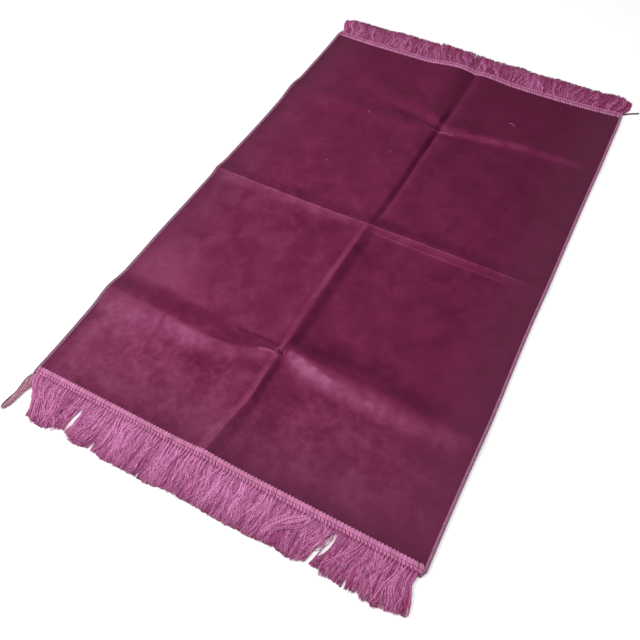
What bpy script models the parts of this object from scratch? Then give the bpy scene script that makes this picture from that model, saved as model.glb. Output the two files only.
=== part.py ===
"""A velvet prayer rug with a yarn fringe at each end, lying on the floor.

The rug was folded for storage, once lengthwise and twice across, and the creases are still in
it: one runs down the middle and three run across. The cloth is one sheet of even thickness
that follows those folds. Overlocked yarn binds its two long edges, and a braided heading with
a cut fringe is sewn to each end. Two loose ends of overlock chain are left.

X runs across the rug, +Y to its far end and +Z up, in metres. The origin is on the floor,
under the middle of the box round the rug and its fringes.
"""

import math
import random

import bmesh
import bpy
import numpy as np

# The cloth between its bound edges and its two headings.
CLOTH_HALF_WIDTH = 0.344
CLOTH_HALF_LENGTH = 0.544
CLOTH_THICKNESS = 0.003

# Pieces that meet are this far apart.
SEAM_GAP = 0.0003

# The overlocked edge, from the cloth outwards, and how far it runs past the cloth's ends.
BINDING_WIDTH = 0.007
BINDING_SECTION = [
    # out from the cloth (share of the width), up (metres)
    (0.00, 0.0000),
    (0.80, 0.0000),
    (1.00, 0.0013),
    (0.94, 0.0034),
    (0.55, 0.0045),
    (0.00, 0.0041),
]

# The braided heading: one thick row of loops beside the cloth, then a thin row of chain.
HEADING_DEPTH = 0.019
HEADING_SECTION = [
    # out from the cloth, up
    (0.0000, 0.0032),
    (0.0030, 0.0048),
    (0.0100, 0.0046),
    (0.0125, 0.0035),
    (0.0160, 0.0040),
    (0.0190, 0.0028),
]

# The fringe, in locks of yarn with three sides, flat side down.
LOCKS_PER_END = 140
LOCK_SECTIONS = 3
LOCK_WIDTH_AT_ROOT = 0.0042
LOCK_WIDTH_AT_TIP = 0.0034
LOCK_HEIGHT_AT_TIP = 0.0018
LOCK_SPACING = 0.0006
LOCK_REACHES_FLOOR_AT = 0.62
CLUMP_SIZES = (3, 6)
CLUMP_PULL = 0.10
TIP_JITTER = 0.0003
LENGTH_JITTER = 0.0022

# The far end isn't cut quite straight: how far it lies beyond its nominal place.
FAR_END_BOW = [
    # x, beyond
    (-0.344, 0.0024),
    (-0.300, -0.0002),
    (-0.220, -0.0020),
    (-0.120, -0.0020),
    (-0.040, -0.0006),
    (0.060, -0.0014),
    (0.120, -0.0052),
    (0.180, -0.0064),
    (0.240, -0.0058),
    (0.300, -0.0034),
    (0.344, 0.0004),
]
FAR_END_BOW_REACH = 0.09

# How each fringe lies: a row for each place along the heading where it changes.
NEAR_FRINGE = [
    # root x, sideways lean of the tip, length
    (-0.344, -0.003, 0.069),
    (-0.336, -0.003, 0.069),
    (-0.332, 0.027, 0.060),
    (-0.300, 0.015, 0.069),
    (-0.270, 0.005, 0.070),
    (-0.245, -0.004, 0.060),
    (-0.236, -0.005, 0.055),
    (-0.231, 0.004, 0.057),
    (-0.205, 0.001, 0.064),
    (-0.182, -0.003, 0.060),
    (-0.176, 0.003, 0.062),
    (-0.150, 0.002, 0.066),
    (-0.092, -0.003, 0.064),
    (-0.086, 0.002, 0.063),
    (-0.030, 0.001, 0.064),
    (0.050, -0.002, 0.063),
    (0.110, -0.004, 0.063),
    (0.150, -0.010, 0.064),
    (0.190, -0.022, 0.061),
    (0.204, -0.026, 0.060),
    (0.212, -0.016, 0.055),
    (0.235, -0.014, 0.056),
    (0.262, -0.004, 0.063),
    (0.284, -0.002, 0.057),
    (0.305, 0.000, 0.065),
    (0.344, 0.003, 0.058),
]
NEAR_FRINGE_SEED = 11
FAR_FRINGE = [
    (-0.344, -0.013, 0.056),
    (-0.320, -0.015, 0.063),
    (-0.250, -0.014, 0.063),
    (-0.240, -0.013, 0.067),
    (-0.150, -0.012, 0.063),
    (-0.080, -0.013, 0.068),
    (-0.010, -0.015, 0.067),
    (0.050, -0.017, 0.058),
    (0.100, -0.010, 0.063),
    (0.130, -0.008, 0.054),
    (0.200, -0.001, 0.057),
    (0.290, 0.009, 0.055),
    (0.305, 0.011, 0.063),
    (0.330, 0.017, 0.055),
    (0.344, 0.023, 0.045),
]
FAR_FRINGE_SEED = 23

# The folds. Each is a long hump whose crest wanders. A lengthwise fold's stations are places
# in y and its crest is a place in x; a crosswise fold's are the other way round. An edge
# of 0 is soft and 2 is crisp: at the crest, at the low flank's foot, at the high flank's foot.
FOLDS = {
    # The lengthwise crease is a narrow ridge in its near half ...
    "near ridge": {
        "runs": "lengthwise",
        "edges": (1.4, 0.0, 0.0),
        "stations": [
            # at, crest, height, low flank, high flank
            (-0.565, -0.014, 0.0040, 0.016, 0.026),
            (-0.430, -0.010, 0.0034, 0.014, 0.024),
            (-0.345, -0.006, 0.0026, 0.012, 0.020),
            (-0.310, -0.010, 0.0032, 0.012, 0.024),
            (-0.160, -0.008, 0.0028, 0.012, 0.026),
            (-0.030, -0.005, 0.0024, 0.012, 0.024),
            (0.020, -0.003, 0.0000, 0.012, 0.022),
        ],
    },
    # ... which stands on a broad rise.
    "near rise": {
        "runs": "lengthwise",
        "edges": (0.0, 0.0, 0.0),
        "stations": [
            (-0.565, -0.012, 0.0050, 0.060, 0.080),
            (-0.480, -0.010, 0.0036, 0.060, 0.080),
            (-0.380, -0.008, 0.0020, 0.060, 0.080),
            (-0.200, -0.006, 0.0016, 0.050, 0.070),
            (-0.040, -0.004, 0.0010, 0.050, 0.060),
            (0.030, 0.000, 0.0000, 0.040, 0.050),
        ],
    },
    # In its far half it is a valley between two swells.
    "far left swell": {
        "runs": "lengthwise",
        "edges": (0.0, 0.0, 1.6),
        "stations": [
            (-0.010, -0.020, 0.0000, 0.060, 0.016),
            (0.060, -0.018, 0.0026, 0.070, 0.017),
            (0.200, -0.016, 0.0034, 0.080, 0.018),
            (0.300, -0.013, 0.0036, 0.080, 0.018),
            (0.400, -0.016, 0.0044, 0.090, 0.022),
            (0.480, -0.020, 0.0062, 0.095, 0.028),
            (0.565, -0.020, 0.0078, 0.090, 0.033),
        ],
    },
    "far right swell": {
        "runs": "lengthwise",
        "edges": (0.0, 1.6, 0.0),
        "stations": [
            (0.000, 0.010, 0.0000, 0.010, 0.050),
            (0.080, 0.012, 0.0018, 0.012, 0.060),
            (0.200, 0.014, 0.0024, 0.012, 0.060),
            (0.310, 0.021, 0.0028, 0.013, 0.060),
            (0.430, 0.019, 0.0030, 0.014, 0.070),
            (0.565, 0.030, 0.0046, 0.017, 0.070),
        ],
    },
    # The middle crosswise crease is a thin ridge from edge to edge.
    "middle": {
        "runs": "crosswise",
        "edges": (1.6, 0.0, 0.0),
        "stations": [
            (-0.352, 0.002, 0.0054, 0.032, 0.042),
            (-0.240, 0.000, 0.0036, 0.024, 0.036),
            (-0.060, -0.001, 0.0030, 0.020, 0.030),
            (0.060, 0.000, 0.0030, 0.020, 0.032),
            (0.220, 0.001, 0.0026, 0.020, 0.036),
            (0.352, 0.002, 0.0010, 0.020, 0.034),
        ],
    },
    # The near quarter crease is a ridge that jogs where it meets the lengthwise crease.
    "near quarter": {
        "runs": "crosswise",
        "edges": (1.2, 0.0, 0.0),
        "stations": [
            (-0.352, -0.360, 0.0069, 0.052, 0.042),
            (-0.220, -0.358, 0.0060, 0.046, 0.038),
            (-0.100, -0.352, 0.0055, 0.046, 0.034),
            (-0.030, -0.342, 0.0052, 0.042, 0.024),
            (0.012, -0.328, 0.0054, 0.042, 0.030),
            (0.070, -0.325, 0.0054, 0.046, 0.036),
            (0.160, -0.326, 0.0050, 0.048, 0.040),
            (0.260, -0.329, 0.0030, 0.046, 0.040),
            (0.352, -0.332, 0.0010, 0.040, 0.036),
        ],
    },
    # The far quarter crease is a ridge on the left, with a trough beyond it ...
    "far quarter, lower": {
        "runs": "crosswise",
        "edges": (0.3, 0.0, 1.2),
        "stations": [
            (-0.352, 0.316, 0.0055, 0.060, 0.040),
            (-0.200, 0.311, 0.0040, 0.052, 0.034),
            (-0.100, 0.308, 0.0034, 0.046, 0.030),
            (-0.030, 0.306, 0.0034, 0.038, 0.024),
            (0.010, 0.306, 0.0014, 0.030, 0.020),
            (0.036, 0.306, 0.0000, 0.026, 0.020),
        ],
    },
    # ... and a second ridge beyond the trough, which goes on to the right edge.
    "far quarter, upper": {
        "runs": "crosswise",
        "edges": (0.4, 0.6, 0.0),
        "stations": [
            (-0.230, 0.412, 0.0000, 0.036, 0.050),
            (-0.160, 0.400, 0.0026, 0.038, 0.052),
            (-0.100, 0.386, 0.0038, 0.038, 0.052),
            (-0.035, 0.370, 0.0042, 0.032, 0.048),
            (0.024, 0.346, 0.0052, 0.022, 0.054),
            (0.090, 0.350, 0.0048, 0.024, 0.060),
            (0.180, 0.357, 0.0040, 0.026, 0.060),
            (0.300, 0.366, 0.0020, 0.026, 0.052),
            (0.352, 0.368, 0.0008, 0.026, 0.048),
        ],
    },
}

# The cloth's mesh follows the creases: its middle column lies on the lengthwise crease, and
# one row lies on each crosswise crease. Steps widen away from them.
COLUMNS_FROM_CREASE = [0.006, 0.013, 0.022, 0.034, 0.052, 0.078, 0.115, 0.170, 0.230, 0.290, 0.344]
CREASE_COLUMN_REACH = 0.12
ROW_STEPS = [
    # from, to, number of rows
    (-0.544, -0.420, 4),
    (-0.420, -0.280, 14),
    (-0.280, -0.044, 5),
    (-0.044, 0.000, 4),
    (0.000, 0.056, 4),
    (0.056, 0.250, 4),
    (0.250, 0.430, 16),
    (0.430, 0.544, 4),
]
CREASE_ROWS = [
    # fold, its row's nominal y, how far the rows round it bend with it
    ("near quarter", -0.340, 0.070),
    ("middle", 0.000, 0.030),
    ("far quarter, lower", 0.30625, 0.030),
]
LENGTHWISE_CREASE = [
    # y, x
    (-0.565, -0.014),
    (-0.430, -0.010),
    (-0.345, -0.006),
    (-0.310, -0.010),
    (-0.030, -0.005),
    (0.080, 0.000),
    (0.280, 0.005),
    (0.320, 0.009),
    (0.430, 0.005),
    (0.565, 0.013),
]

# The loose ends of overlock chain: where each runs, on the floor, and how thick it is.
NEAR_TAIL_DIAMETER = 0.0026
NEAR_TAIL_ROUTE = [
    (-0.3500, -0.5640),
    (-0.3518, -0.5696),
    (-0.3528, -0.5780),
    (-0.3516, -0.5890),
    (-0.3504, -0.6000),
    (-0.3516, -0.6110),
    (-0.3532, -0.6210),
    (-0.3536, -0.6290),
    (-0.3524, -0.6350),
]
FAR_TAIL_DIAMETER = 0.0018
FAR_TAIL_ROUTE = [
    (0.3520, 0.5568),
    (0.3552, 0.5594),
    (0.3604, 0.5640),
    (0.3684, 0.5690),
    (0.3762, 0.5736),
    (0.3822, 0.5776),
]
TAIL_CLEARANCE = 0.0001
TAIL_STEP_IN_DIAMETERS = 2.2
TAIL_BEVEL_RESOLUTION = 2

# Colours as they look in daylight, red, green and blue from 0 to 255, and roughness.
FINISHES = {
    "velvet": ((106, 38, 72), 0.85),
    "fringe_yarn": ((178, 98, 144), 0.75),
    "overlock_yarn": ((150, 88, 124), 0.75),
    "loose_thread": ((104, 90, 98), 0.80),
}
SCREEN_GAMMA = 2.2


def through(at, values, where):
    """Read a smooth curve through the given stations, level beyond the first and the last."""
    at = np.asarray(at, float)
    values = np.asarray(values, float)
    slope = np.gradient(values, at)
    where = np.clip(np.asarray(where, float), at[0], at[-1])
    left = np.clip(np.searchsorted(at, where, side="right") - 1, 0, len(at) - 2)
    span = at[left + 1] - at[left]
    t = (where - at[left]) / span
    return (
        (2 * t**3 - 3 * t**2 + 1) * values[left]
        + (t**3 - 2 * t**2 + t) * span * slope[left]
        + (3 * t**2 - 2 * t**3) * values[left + 1]
        + (t**3 - t**2) * span * slope[left + 1]
    )


def ease(t):
    """Go from 0 to 1 with a level start and end."""
    t = np.clip(t, 0.0, 1.0)
    return t * t * (3 - 2 * t)


def fold_lift(fold, x, y):
    """Work out how far one fold lifts the cloth at x, y."""
    along, across = (y, x) if fold["runs"] == "lengthwise" else (x, y)
    at, crest, height, low, high = zip(*fold["stations"])
    from_crest = across - through(at, crest, along)
    is_low = from_crest < 0
    flank = np.where(is_low, through(at, low, along), through(at, high, along))
    crest_edge, low_edge, high_edge = fold["edges"]
    foot_edge = np.where(is_low, low_edge, high_edge)
    t = np.clip(np.abs(from_crest) / flank, 0.0, 1.0)
    soft = 2 * t**3 - 3 * t**2 + 1
    profile = soft - crest_edge * (t**3 - 2 * t**2 + t) - foot_edge * (t**3 - t**2)
    return np.maximum(through(at, height, along), 0.0) * profile


def cloth_lift(x, y):
    """Work out how high the underside of the cloth is above the floor at x, y."""
    x, y = np.broadcast_arrays(np.asarray(x, float), np.asarray(y, float))
    return sum(fold_lift(fold, x, y) for fold in FOLDS.values())


def bend_towards(line, middle, reach, values):
    """Shift mesh lines near a crease so that the one at its middle place lies on it."""
    share = 1 - ease(np.abs(values - middle) / reach)
    return values + (line - middle) * share


def cloth_grid():
    """Lay out the cloth's mesh lines, with rows and columns along the creases."""
    steps = np.array(COLUMNS_FROM_CREASE)
    columns = np.concatenate([-steps[::-1], [0.0], steps])
    rows = np.concatenate([np.linspace(a, b, n, endpoint=False) for a, b, n in ROW_STEPS])
    rows = np.append(rows, CLOTH_HALF_LENGTH)
    x, y = np.meshgrid(columns, rows)
    bent = y
    for name, middle, reach in CREASE_ROWS:
        at, crest, *_ = zip(*FOLDS[name]["stations"])
        bent = bend_towards(through(at, crest, x), middle, reach, bent)
    bow_at, bow = zip(*FAR_END_BOW)
    from_end = (CLOTH_HALF_LENGTH - bent) / FAR_END_BOW_REACH
    bent = bent + through(bow_at, bow, x) * (1 - ease(from_end))
    crease_at, crease_x = zip(*LENGTHWISE_CREASE)
    x = bend_towards(through(crease_at, crease_x, bent), 0.0, CREASE_COLUMN_REACH, x)
    return x, bent


def cloth_end(end, x):
    """Read the cloth's near end (-1) or far end (1) at x: its distance from the middle, its lift."""
    row_x, row_y = (line[0 if end < 0 else -1] for line in cloth_grid())
    return np.interp(x, row_x, end * row_y), np.interp(x, row_x, cloth_lift(row_x, row_y))


def quads_of_grid(first, rows, columns):
    """List the faces of a grid of points numbered row by row."""
    return [
        (
            first + row * columns + column,
            first + row * columns + column + 1,
            first + (row + 1) * columns + column + 1,
            first + (row + 1) * columns + column,
        )
        for row in range(rows - 1)
        for column in range(columns - 1)
    ]


def make_finish(name):
    """Make a plain cloth or yarn material."""
    colour, roughness = FINISHES[name]
    material = bpy.data.materials.new(name)
    material.use_nodes = True
    shader = material.node_tree.nodes["Principled BSDF"]
    linear = [(channel / 255) ** SCREEN_GAMMA for channel in colour]
    shader.inputs["Base Color"].default_value = (*linear, 1.0)
    shader.inputs["Roughness"].default_value = roughness
    shader.inputs["Metallic"].default_value = 0.0
    material.diffuse_color = (*linear, 1.0)
    return material


def add_piece(name, vertices, faces, material):
    """Make a named object from points and faces, with every face turned outwards."""
    mesh = bpy.data.meshes.new(name)
    mesh.from_pydata([tuple(map(float, point)) for point in vertices], [], faces)
    shape = bmesh.new()
    shape.from_mesh(mesh)
    bmesh.ops.recalc_face_normals(shape, faces=shape.faces)
    shape.to_mesh(mesh)
    shape.free()
    mesh.materials.append(material)
    piece = bpy.data.objects.new(name, mesh)
    bpy.context.scene.collection.objects.link(piece)
    return piece


def make_cloth(material):
    """Make the velvet: a sheet of even thickness that follows the folds."""
    x, y = cloth_grid()
    lift = cloth_lift(x, y)
    rows, columns = x.shape
    under = np.stack([x, y, lift], axis=-1).reshape(-1, 3)
    over = under + (0.0, 0.0, CLOTH_THICKNESS)
    count = rows * columns
    faces = quads_of_grid(0, rows, columns) + quads_of_grid(count, rows, columns)
    rim = (
        list(range(columns))
        + [row * columns + columns - 1 for row in range(1, rows)]
        + [(rows - 1) * columns + column for column in range(columns - 2, -1, -1)]
        + [row * columns for row in range(rows - 2, 0, -1)]
    )
    for here, after in zip(rim, rim[1:] + rim[:1]):
        faces.append((here, after, after + count, here + count))
    return add_piece("velvet_panel", np.concatenate([under, over]), faces, material)


def make_binding(name, side, material):
    """Make one overlocked edge, which rises and falls with the cloth's edge."""
    y = cloth_grid()[1][:, 0 if side < 0 else -1]
    past = SEAM_GAP + HEADING_DEPTH
    y = np.concatenate([[y[0] - past], y, [y[-1] + past]])
    lift = cloth_lift(side * CLOTH_HALF_WIDTH, y)
    out, up = np.array(BINDING_SECTION).T
    x = side * (CLOTH_HALF_WIDTH + SEAM_GAP + out * BINDING_WIDTH)
    points = np.empty((len(y), len(out), 3))
    points[:, :, 0] = x
    points[:, :, 1] = y[:, None]
    points[:, :, 2] = lift[:, None] + up
    corners = len(out)
    faces = [
        (
            ring * corners + corner,
            ring * corners + (corner + 1) % corners,
            (ring + 1) * corners + (corner + 1) % corners,
            (ring + 1) * corners + corner,
        )
        for ring in range(len(y) - 1)
        for corner in range(corners)
    ]
    faces.append(tuple(range(corners)))
    faces.append(tuple((len(y) - 1) * corners + corner for corner in range(corners)))
    return add_piece(name, points.reshape(-1, 3), faces, material)


def lock_tips(table, roots, dice):
    """Give each lock of a fringe its lean and length, with neighbours drawn into clumps."""
    at, lean, length = zip(*table)
    lean = np.interp(roots, at, lean)
    length = np.interp(roots, at, length)
    first = 0
    while first < len(roots):
        clump = slice(first, min(first + dice.randint(*CLUMP_SIZES), len(roots)))
        lean[clump] += CLUMP_PULL * (roots[clump].mean() - roots[clump])
        first = clump.stop
    lean += [dice.uniform(-TIP_JITTER, TIP_JITTER) for _ in roots]
    length += [dice.uniform(-LENGTH_JITTER, LENGTH_JITTER) for _ in roots]
    return lean, length


def lock_rings(root, lean, length, end):
    """Work out every lock's cross-sections: left foot, right foot and ridge, root to tip."""
    share = (np.arange(1, LOCK_SECTIONS + 1) / LOCK_SECTIONS)[:, None]
    middle = root + lean * ease(share)
    room = np.pad(np.diff(middle, axis=1) - LOCK_SPACING, ((0, 0), (1, 1)), "edge")
    room = np.minimum(room[:, :-1], room[:, 1:])
    width = LOCK_WIDTH_AT_ROOT + share * (LOCK_WIDTH_AT_TIP - LOCK_WIDTH_AT_ROOT)
    half = np.minimum(width, room) / 2
    start, lift = cloth_end(end, root)
    y = end * (start + SEAM_GAP + HEADING_DEPTH + length * share)
    foot = lift * (1 - ease(share / LOCK_REACHES_FLOOR_AT))
    root_height = HEADING_SECTION[-1][1]
    ridge = foot + root_height + share * (LOCK_HEIGHT_AT_TIP - root_height)
    corners = [(middle - half, y, foot), (middle + half, y, foot), (middle, y, ridge)]
    return np.array(corners).transpose(3, 2, 0, 1)


def make_fringe_trim(name, end, table, seed, material):
    """Make a heading and the locks of yarn that hang from its outer edge, as one body."""
    half = CLOTH_HALF_WIDTH
    pitch = 2 * half / LOCKS_PER_END
    roots = -half + pitch * (np.arange(LOCKS_PER_END) + 0.5)
    lean, length = lock_tips(table, roots, random.Random(seed))
    stations = np.concatenate([[-half], roots, [half]])
    feet = np.stack([roots - LOCK_WIDTH_AT_ROOT / 2, roots + LOCK_WIDTH_AT_ROOT / 2], 1).ravel()
    feet = np.concatenate([[-half], feet, [half]])
    points = []
    faces = []

    def add_row(x, depth, up):
        first = len(points)
        start, lift = cloth_end(end, x)
        points.extend(zip(x, end * (start + SEAM_GAP + depth), lift + up))
        return list(range(first, len(points)))

    inner_foot = add_row(stations, 0.0, 0.0)
    top_rows = [add_row(stations, depth, up) for depth, up in HEADING_SECTION]
    outer_foot = add_row(feet, HEADING_DEPTH, 0.0)
    ridge_row = top_rows[-1]
    last = len(stations) - 1
    for row, after in zip([inner_foot] + top_rows, top_rows):
        faces += [(row[i], row[i + 1], after[i + 1], after[i]) for i in range(last)]
    for i in range(last):
        web = (outer_foot[2 * i], outer_foot[2 * i + 1])
        faces.append((inner_foot[i], web[0], web[1], inner_foot[i + 1]))
        faces.append((web[0], web[1], ridge_row[i + 1], ridge_row[i]))
    for i in (0, last):
        faces.append([row[i] for row in [inner_foot] + top_rows] + [outer_foot[-1 if i else 0]])

    rings = lock_rings(roots, lean, length, end)
    for i in range(LOCKS_PER_END):
        before = [outer_foot[2 * i + 1], outer_foot[2 * i + 2], ridge_row[i + 1]]
        faces.append((inner_foot[i + 1], before[0], before[1]))
        for ring in rings[i]:
            points.extend(ring)
            after = [len(points) - 3, len(points) - 2, len(points) - 1]
            for a, b in ((0, 1), (1, 2), (2, 0)):
                faces.append((before[a], before[b], after[b], after[a]))
            before = after
        faces.append(tuple(before))
    return add_piece(name, points, faces, material)


def make_thread_tail(name, route, diameter, material):
    """Make a loose end of chain: a round tube on a smooth curve, lying on the floor."""
    route = np.array(route)
    travelled = np.concatenate([[0.0], np.cumsum(np.linalg.norm(np.diff(route, axis=0), axis=1))])
    count = math.ceil(travelled[-1] / (TAIL_STEP_IN_DIAMETERS * diameter)) + 1
    steps = np.linspace(0.0, travelled[-1], count)
    x = through(travelled, route[:, 0], steps)
    y = through(travelled, route[:, 1], steps)
    curve = bpy.data.curves.new(name, "CURVE")
    curve.dimensions = "3D"
    curve.bevel_depth = diameter / 2
    curve.bevel_resolution = TAIL_BEVEL_RESOLUTION
    curve.use_fill_caps = True
    spline = curve.splines.new("POLY")
    spline.points.add(count - 1)
    for point, a, b in zip(spline.points, x, y):
        point.co = (a, b, diameter / 2 + TAIL_CLEARANCE, 1.0)
    curve.materials.append(material)
    piece = bpy.data.objects.new(name, curve)
    bpy.context.scene.collection.objects.link(piece)
    return piece


def centre_on_origin(pieces, hanger):
    """Move the rug so that the middle of its box, without the loose threads, is at x = y = 0."""
    points = [vertex.co for piece in pieces for vertex in piece.data.vertices]
    middle = [
        (min(point[axis] for point in points) + max(point[axis] for point in points)) / 2
        for axis in (0, 1)
    ]
    hanger.location = (-middle[0], -middle[1], 0.0)


def make_rug():
    """Make every piece of the rug and hang them on one empty."""
    for old in list(bpy.data.objects):
        bpy.data.objects.remove(old, do_unlink=True)
    velvet, yarn, overlock, thread = (make_finish(name) for name in FINISHES)
    sewn = [
        make_cloth(velvet),
        make_binding("edge_binding_left", -1, overlock),
        make_binding("edge_binding_right", 1, overlock),
        make_fringe_trim("fringe_trim_near", -1, NEAR_FRINGE, NEAR_FRINGE_SEED, yarn),
        make_fringe_trim("fringe_trim_far", 1, FAR_FRINGE, FAR_FRINGE_SEED, yarn),
    ]
    loose = [
        make_thread_tail("thread_tail_near_left", NEAR_TAIL_ROUTE, NEAR_TAIL_DIAMETER, overlock),
        make_thread_tail("thread_tail_far_right", FAR_TAIL_ROUTE, FAR_TAIL_DIAMETER, thread),
    ]
    rug = bpy.data.objects.new("rug", None)
    bpy.context.scene.collection.objects.link(rug)
    centre_on_origin(sewn, rug)
    for piece in sewn + loose:
        piece.parent = rug


make_rug()
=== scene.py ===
# A velvet prayer rug as it lies after it was unfolded: the looks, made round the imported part.
# x runs across the rug, y to its far end and z up. Measures are in metres, and tables marked mm
# in millimetres. Shapes are worked out round the middle of the cloth, and meshPiece() moves
# them to where the part has that middle.
import math

import bpy
import numpy as np
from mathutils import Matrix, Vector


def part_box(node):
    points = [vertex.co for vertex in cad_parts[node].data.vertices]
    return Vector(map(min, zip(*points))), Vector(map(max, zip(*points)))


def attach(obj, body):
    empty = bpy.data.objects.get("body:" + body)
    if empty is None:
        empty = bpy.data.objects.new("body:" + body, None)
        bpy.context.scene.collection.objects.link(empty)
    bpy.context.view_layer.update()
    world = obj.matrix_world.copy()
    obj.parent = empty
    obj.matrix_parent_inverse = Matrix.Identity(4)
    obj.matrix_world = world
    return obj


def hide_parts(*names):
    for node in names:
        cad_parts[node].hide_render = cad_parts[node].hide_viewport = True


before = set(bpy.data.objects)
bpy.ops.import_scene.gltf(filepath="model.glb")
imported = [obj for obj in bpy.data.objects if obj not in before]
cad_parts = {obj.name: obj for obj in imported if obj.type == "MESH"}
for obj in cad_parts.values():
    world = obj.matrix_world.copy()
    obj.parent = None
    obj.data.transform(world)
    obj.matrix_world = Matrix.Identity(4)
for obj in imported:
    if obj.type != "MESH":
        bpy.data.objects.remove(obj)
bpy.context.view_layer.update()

panelLow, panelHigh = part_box("velvet_panel")
rug = {
    "halfWidth": (panelHigh.x - panelLow.x) / 2,  # of the cloth, between its bound edges
    "halfLength": 0.544,  # of the cloth, between its two headings
    "thickness": 0.003,
    "seamGap": 0.0003,
    "headingDepth": 0.019,
}
middle = np.array([(panelLow.x + panelHigh.x) / 2, panelLow.y + rug["halfLength"], 0.0])
print("frame loaded, cloth", round(2 * rug["halfWidth"], 3), "m wide")


def metres(table):
    # the columns of a table of millimetres, in metres
    return np.array(table, float).T / 1000


def ease(values, start=0.0, width=1.0):
    # from 0 at start to 1 a width further, level at both: 3t^2 - 2t^3
    t = np.clip((values - start) / width, 0.0, 1.0)
    return t * t * (3 - 2 * t)


def unit(vectors):
    return vectors / np.maximum(np.linalg.norm(vectors, axis=-1, keepdims=True), 1e-12)


def through(at, values, where):
    # a smooth curve through stations: a cubic between each two, whose slopes come from the
    # stations on both sides, and level beyond the first and the last
    slope = np.gradient(values, at)
    where = np.clip(where, at[0], at[-1])
    left = np.clip(np.searchsorted(at, where, side="right") - 1, 0, len(at) - 2)
    span = at[left + 1] - at[left]
    t = (where - at[left]) / span
    return (
        (2 * t**3 - 3 * t**2 + 1) * values[left]
        + (t**3 - 2 * t**2 + t) * span * slope[left]
        + (3 * t**2 - 2 * t**3) * values[left + 1]
        + (t**3 - t**2) * span * slope[left + 1]
    )


def travelledOn(points):
    # how far along the line each of its points is
    return np.append(0.0, np.cumsum(np.linalg.norm(np.diff(points, axis=0), axis=1)))


def sampled(route, count):
    # evenly spaced points on the smooth curve through a route's own points, which are in mm
    columns = metres(route)
    travelled = travelledOn(columns.T)
    steps = np.linspace(0.0, travelled[-1], count)
    return np.stack([through(travelled, column, steps) for column in columns], axis=1)


def softNoise(x, y, size, seed):
    # value noise from -1 to 1: random numbers on a square lattice of the given size, eased
    # between its corners
    lattice = np.random.default_rng(seed).uniform(-1, 1, (64, 64))
    u, v = x / size + 30.0, y / size + 30.0
    i, j = np.floor(u).astype(int), np.floor(v).astype(int)
    s, t = ease(u - i), ease(v - j)
    near = lattice[i % 64, j % 64] * (1 - s) + lattice[(i + 1) % 64, j % 64] * s
    far = lattice[i % 64, (j + 1) % 64] * (1 - s) + lattice[(i + 1) % 64, (j + 1) % 64] * s
    return near * (1 - t) + far * t


def layeredNoise(x, y, layers):
    # layers are rows of size, seed and share
    return sum(share * softNoise(x, y, size, seed) for size, seed, share in layers)


def spot(x, y, place):
    # a soft spot from its middle, its reach each way and its strength:
    # strength * exp(-(dx / reach)^2 - (dy / reach)^2)
    atX, atY, reachX, reachY, strength = place
    return strength * np.exp(-(((x - atX) / reachX) ** 2) - ((y - atY) / reachY) ** 2)


view = {
    "cameraPlace": (0.3454, -0.8431, 0.9621),
    "cameraTurn": (35.43, 0.523, 28.07),  # degrees
    "lens": 38.05,
    "lights": {
        # name: place, size, watts, colour
        "window": ((-1.9, -1.5, 1.7), 1.5, 62, (1.0, 0.98, 0.97)),
        "ceiling": ((0.2, 0.3, 3.0), 3.0, 62, (1.0, 0.99, 1.0)),
    },
    "airGlow": 0.35,
    "floorSize": 12.0,
    "floorHeight": -0.0003,
    "floorColour": (0.93, 0.93, 0.93),
    "floorPatches": (0.9, 2.0, 0.5),  # size, detail and roughness of its noise
    "floorShade": (0.05, 0.97),  # how strong they are, and how dark
}


def addObject(name, data):
    made = bpy.data.objects.new(name, data)
    bpy.context.scene.collection.objects.link(made)
    return made


def addLight(name, place, size, watts, colour):
    lamp = bpy.data.lights.new(name, "AREA")
    lamp.shape = "DISK"
    lamp.size = size
    lamp.energy = watts
    lamp.color = colour
    holder = addObject(name, lamp)
    holder.location = place
    towardsRug = -holder.location
    holder.rotation_euler = towardsRug.to_track_quat("-Z", "Y").to_euler()


def makeStage():
    lens = bpy.data.cameras.new("camera")
    lens.lens = view["lens"]
    lens.sensor_width = 36
    lens.clip_start = 0.01
    camera = addObject("camera", lens)
    camera.location = view["cameraPlace"]
    camera.rotation_euler = [math.radians(turn) for turn in view["cameraTurn"]]
    bpy.context.scene.camera = camera
    for name, settings in view["lights"].items():
        addLight(name, *settings)
    air = bpy.data.worlds.new("air")
    air.use_nodes = True
    glow = air.node_tree.nodes["Background"].inputs
    glow["Color"].default_value = (1, 1, 1, 1)
    glow["Strength"].default_value = view["airGlow"]
    bpy.context.scene.world = air
    bpy.context.scene.view_settings.view_transform = "Standard"
    half = view["floorSize"] / 2
    corners = [(-half, -half), (half, -half), (half, half), (-half, half)]
    sheet = bpy.data.meshes.new("floor")
    sheet.from_pydata([(x, y, view["floorHeight"]) for x, y in corners], [], [(0, 1, 2, 3)])
    floor = addObject("floor", sheet)
    return floor


floor = makeStage()
print("camera, lights and floor made")


class Tap:
    # an output of a node; arithmetic on it adds Math nodes to the same finish
    def __init__(self, finish, socket):
        self.finish = finish
        self.socket = socket

    def maths(self, operation, first, second=0.0):
        return self.finish.node("ShaderNodeMath", {"operation": operation}, {0: first, 1: second})

    def __add__(self, other):
        return self.maths("ADD", self, other)

    def __sub__(self, other):
        return self.maths("SUBTRACT", self, other)

    def __mul__(self, other):
        return self.maths("MULTIPLY", self, other)

    def __rsub__(self, other):
        return self.maths("SUBTRACT", other, self)

    __radd__ = __add__
    __rmul__ = __mul__

    def sine(self):
        return self.maths("SINE", self)

    def between(self, low, high):
        # 0 at low, 1 at high, clipped
        inputs = {"Value": self, "From Min": low, "From Max": high}
        return self.finish.node("ShaderNodeMapRange", {"clamp": True}, inputs)


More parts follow.
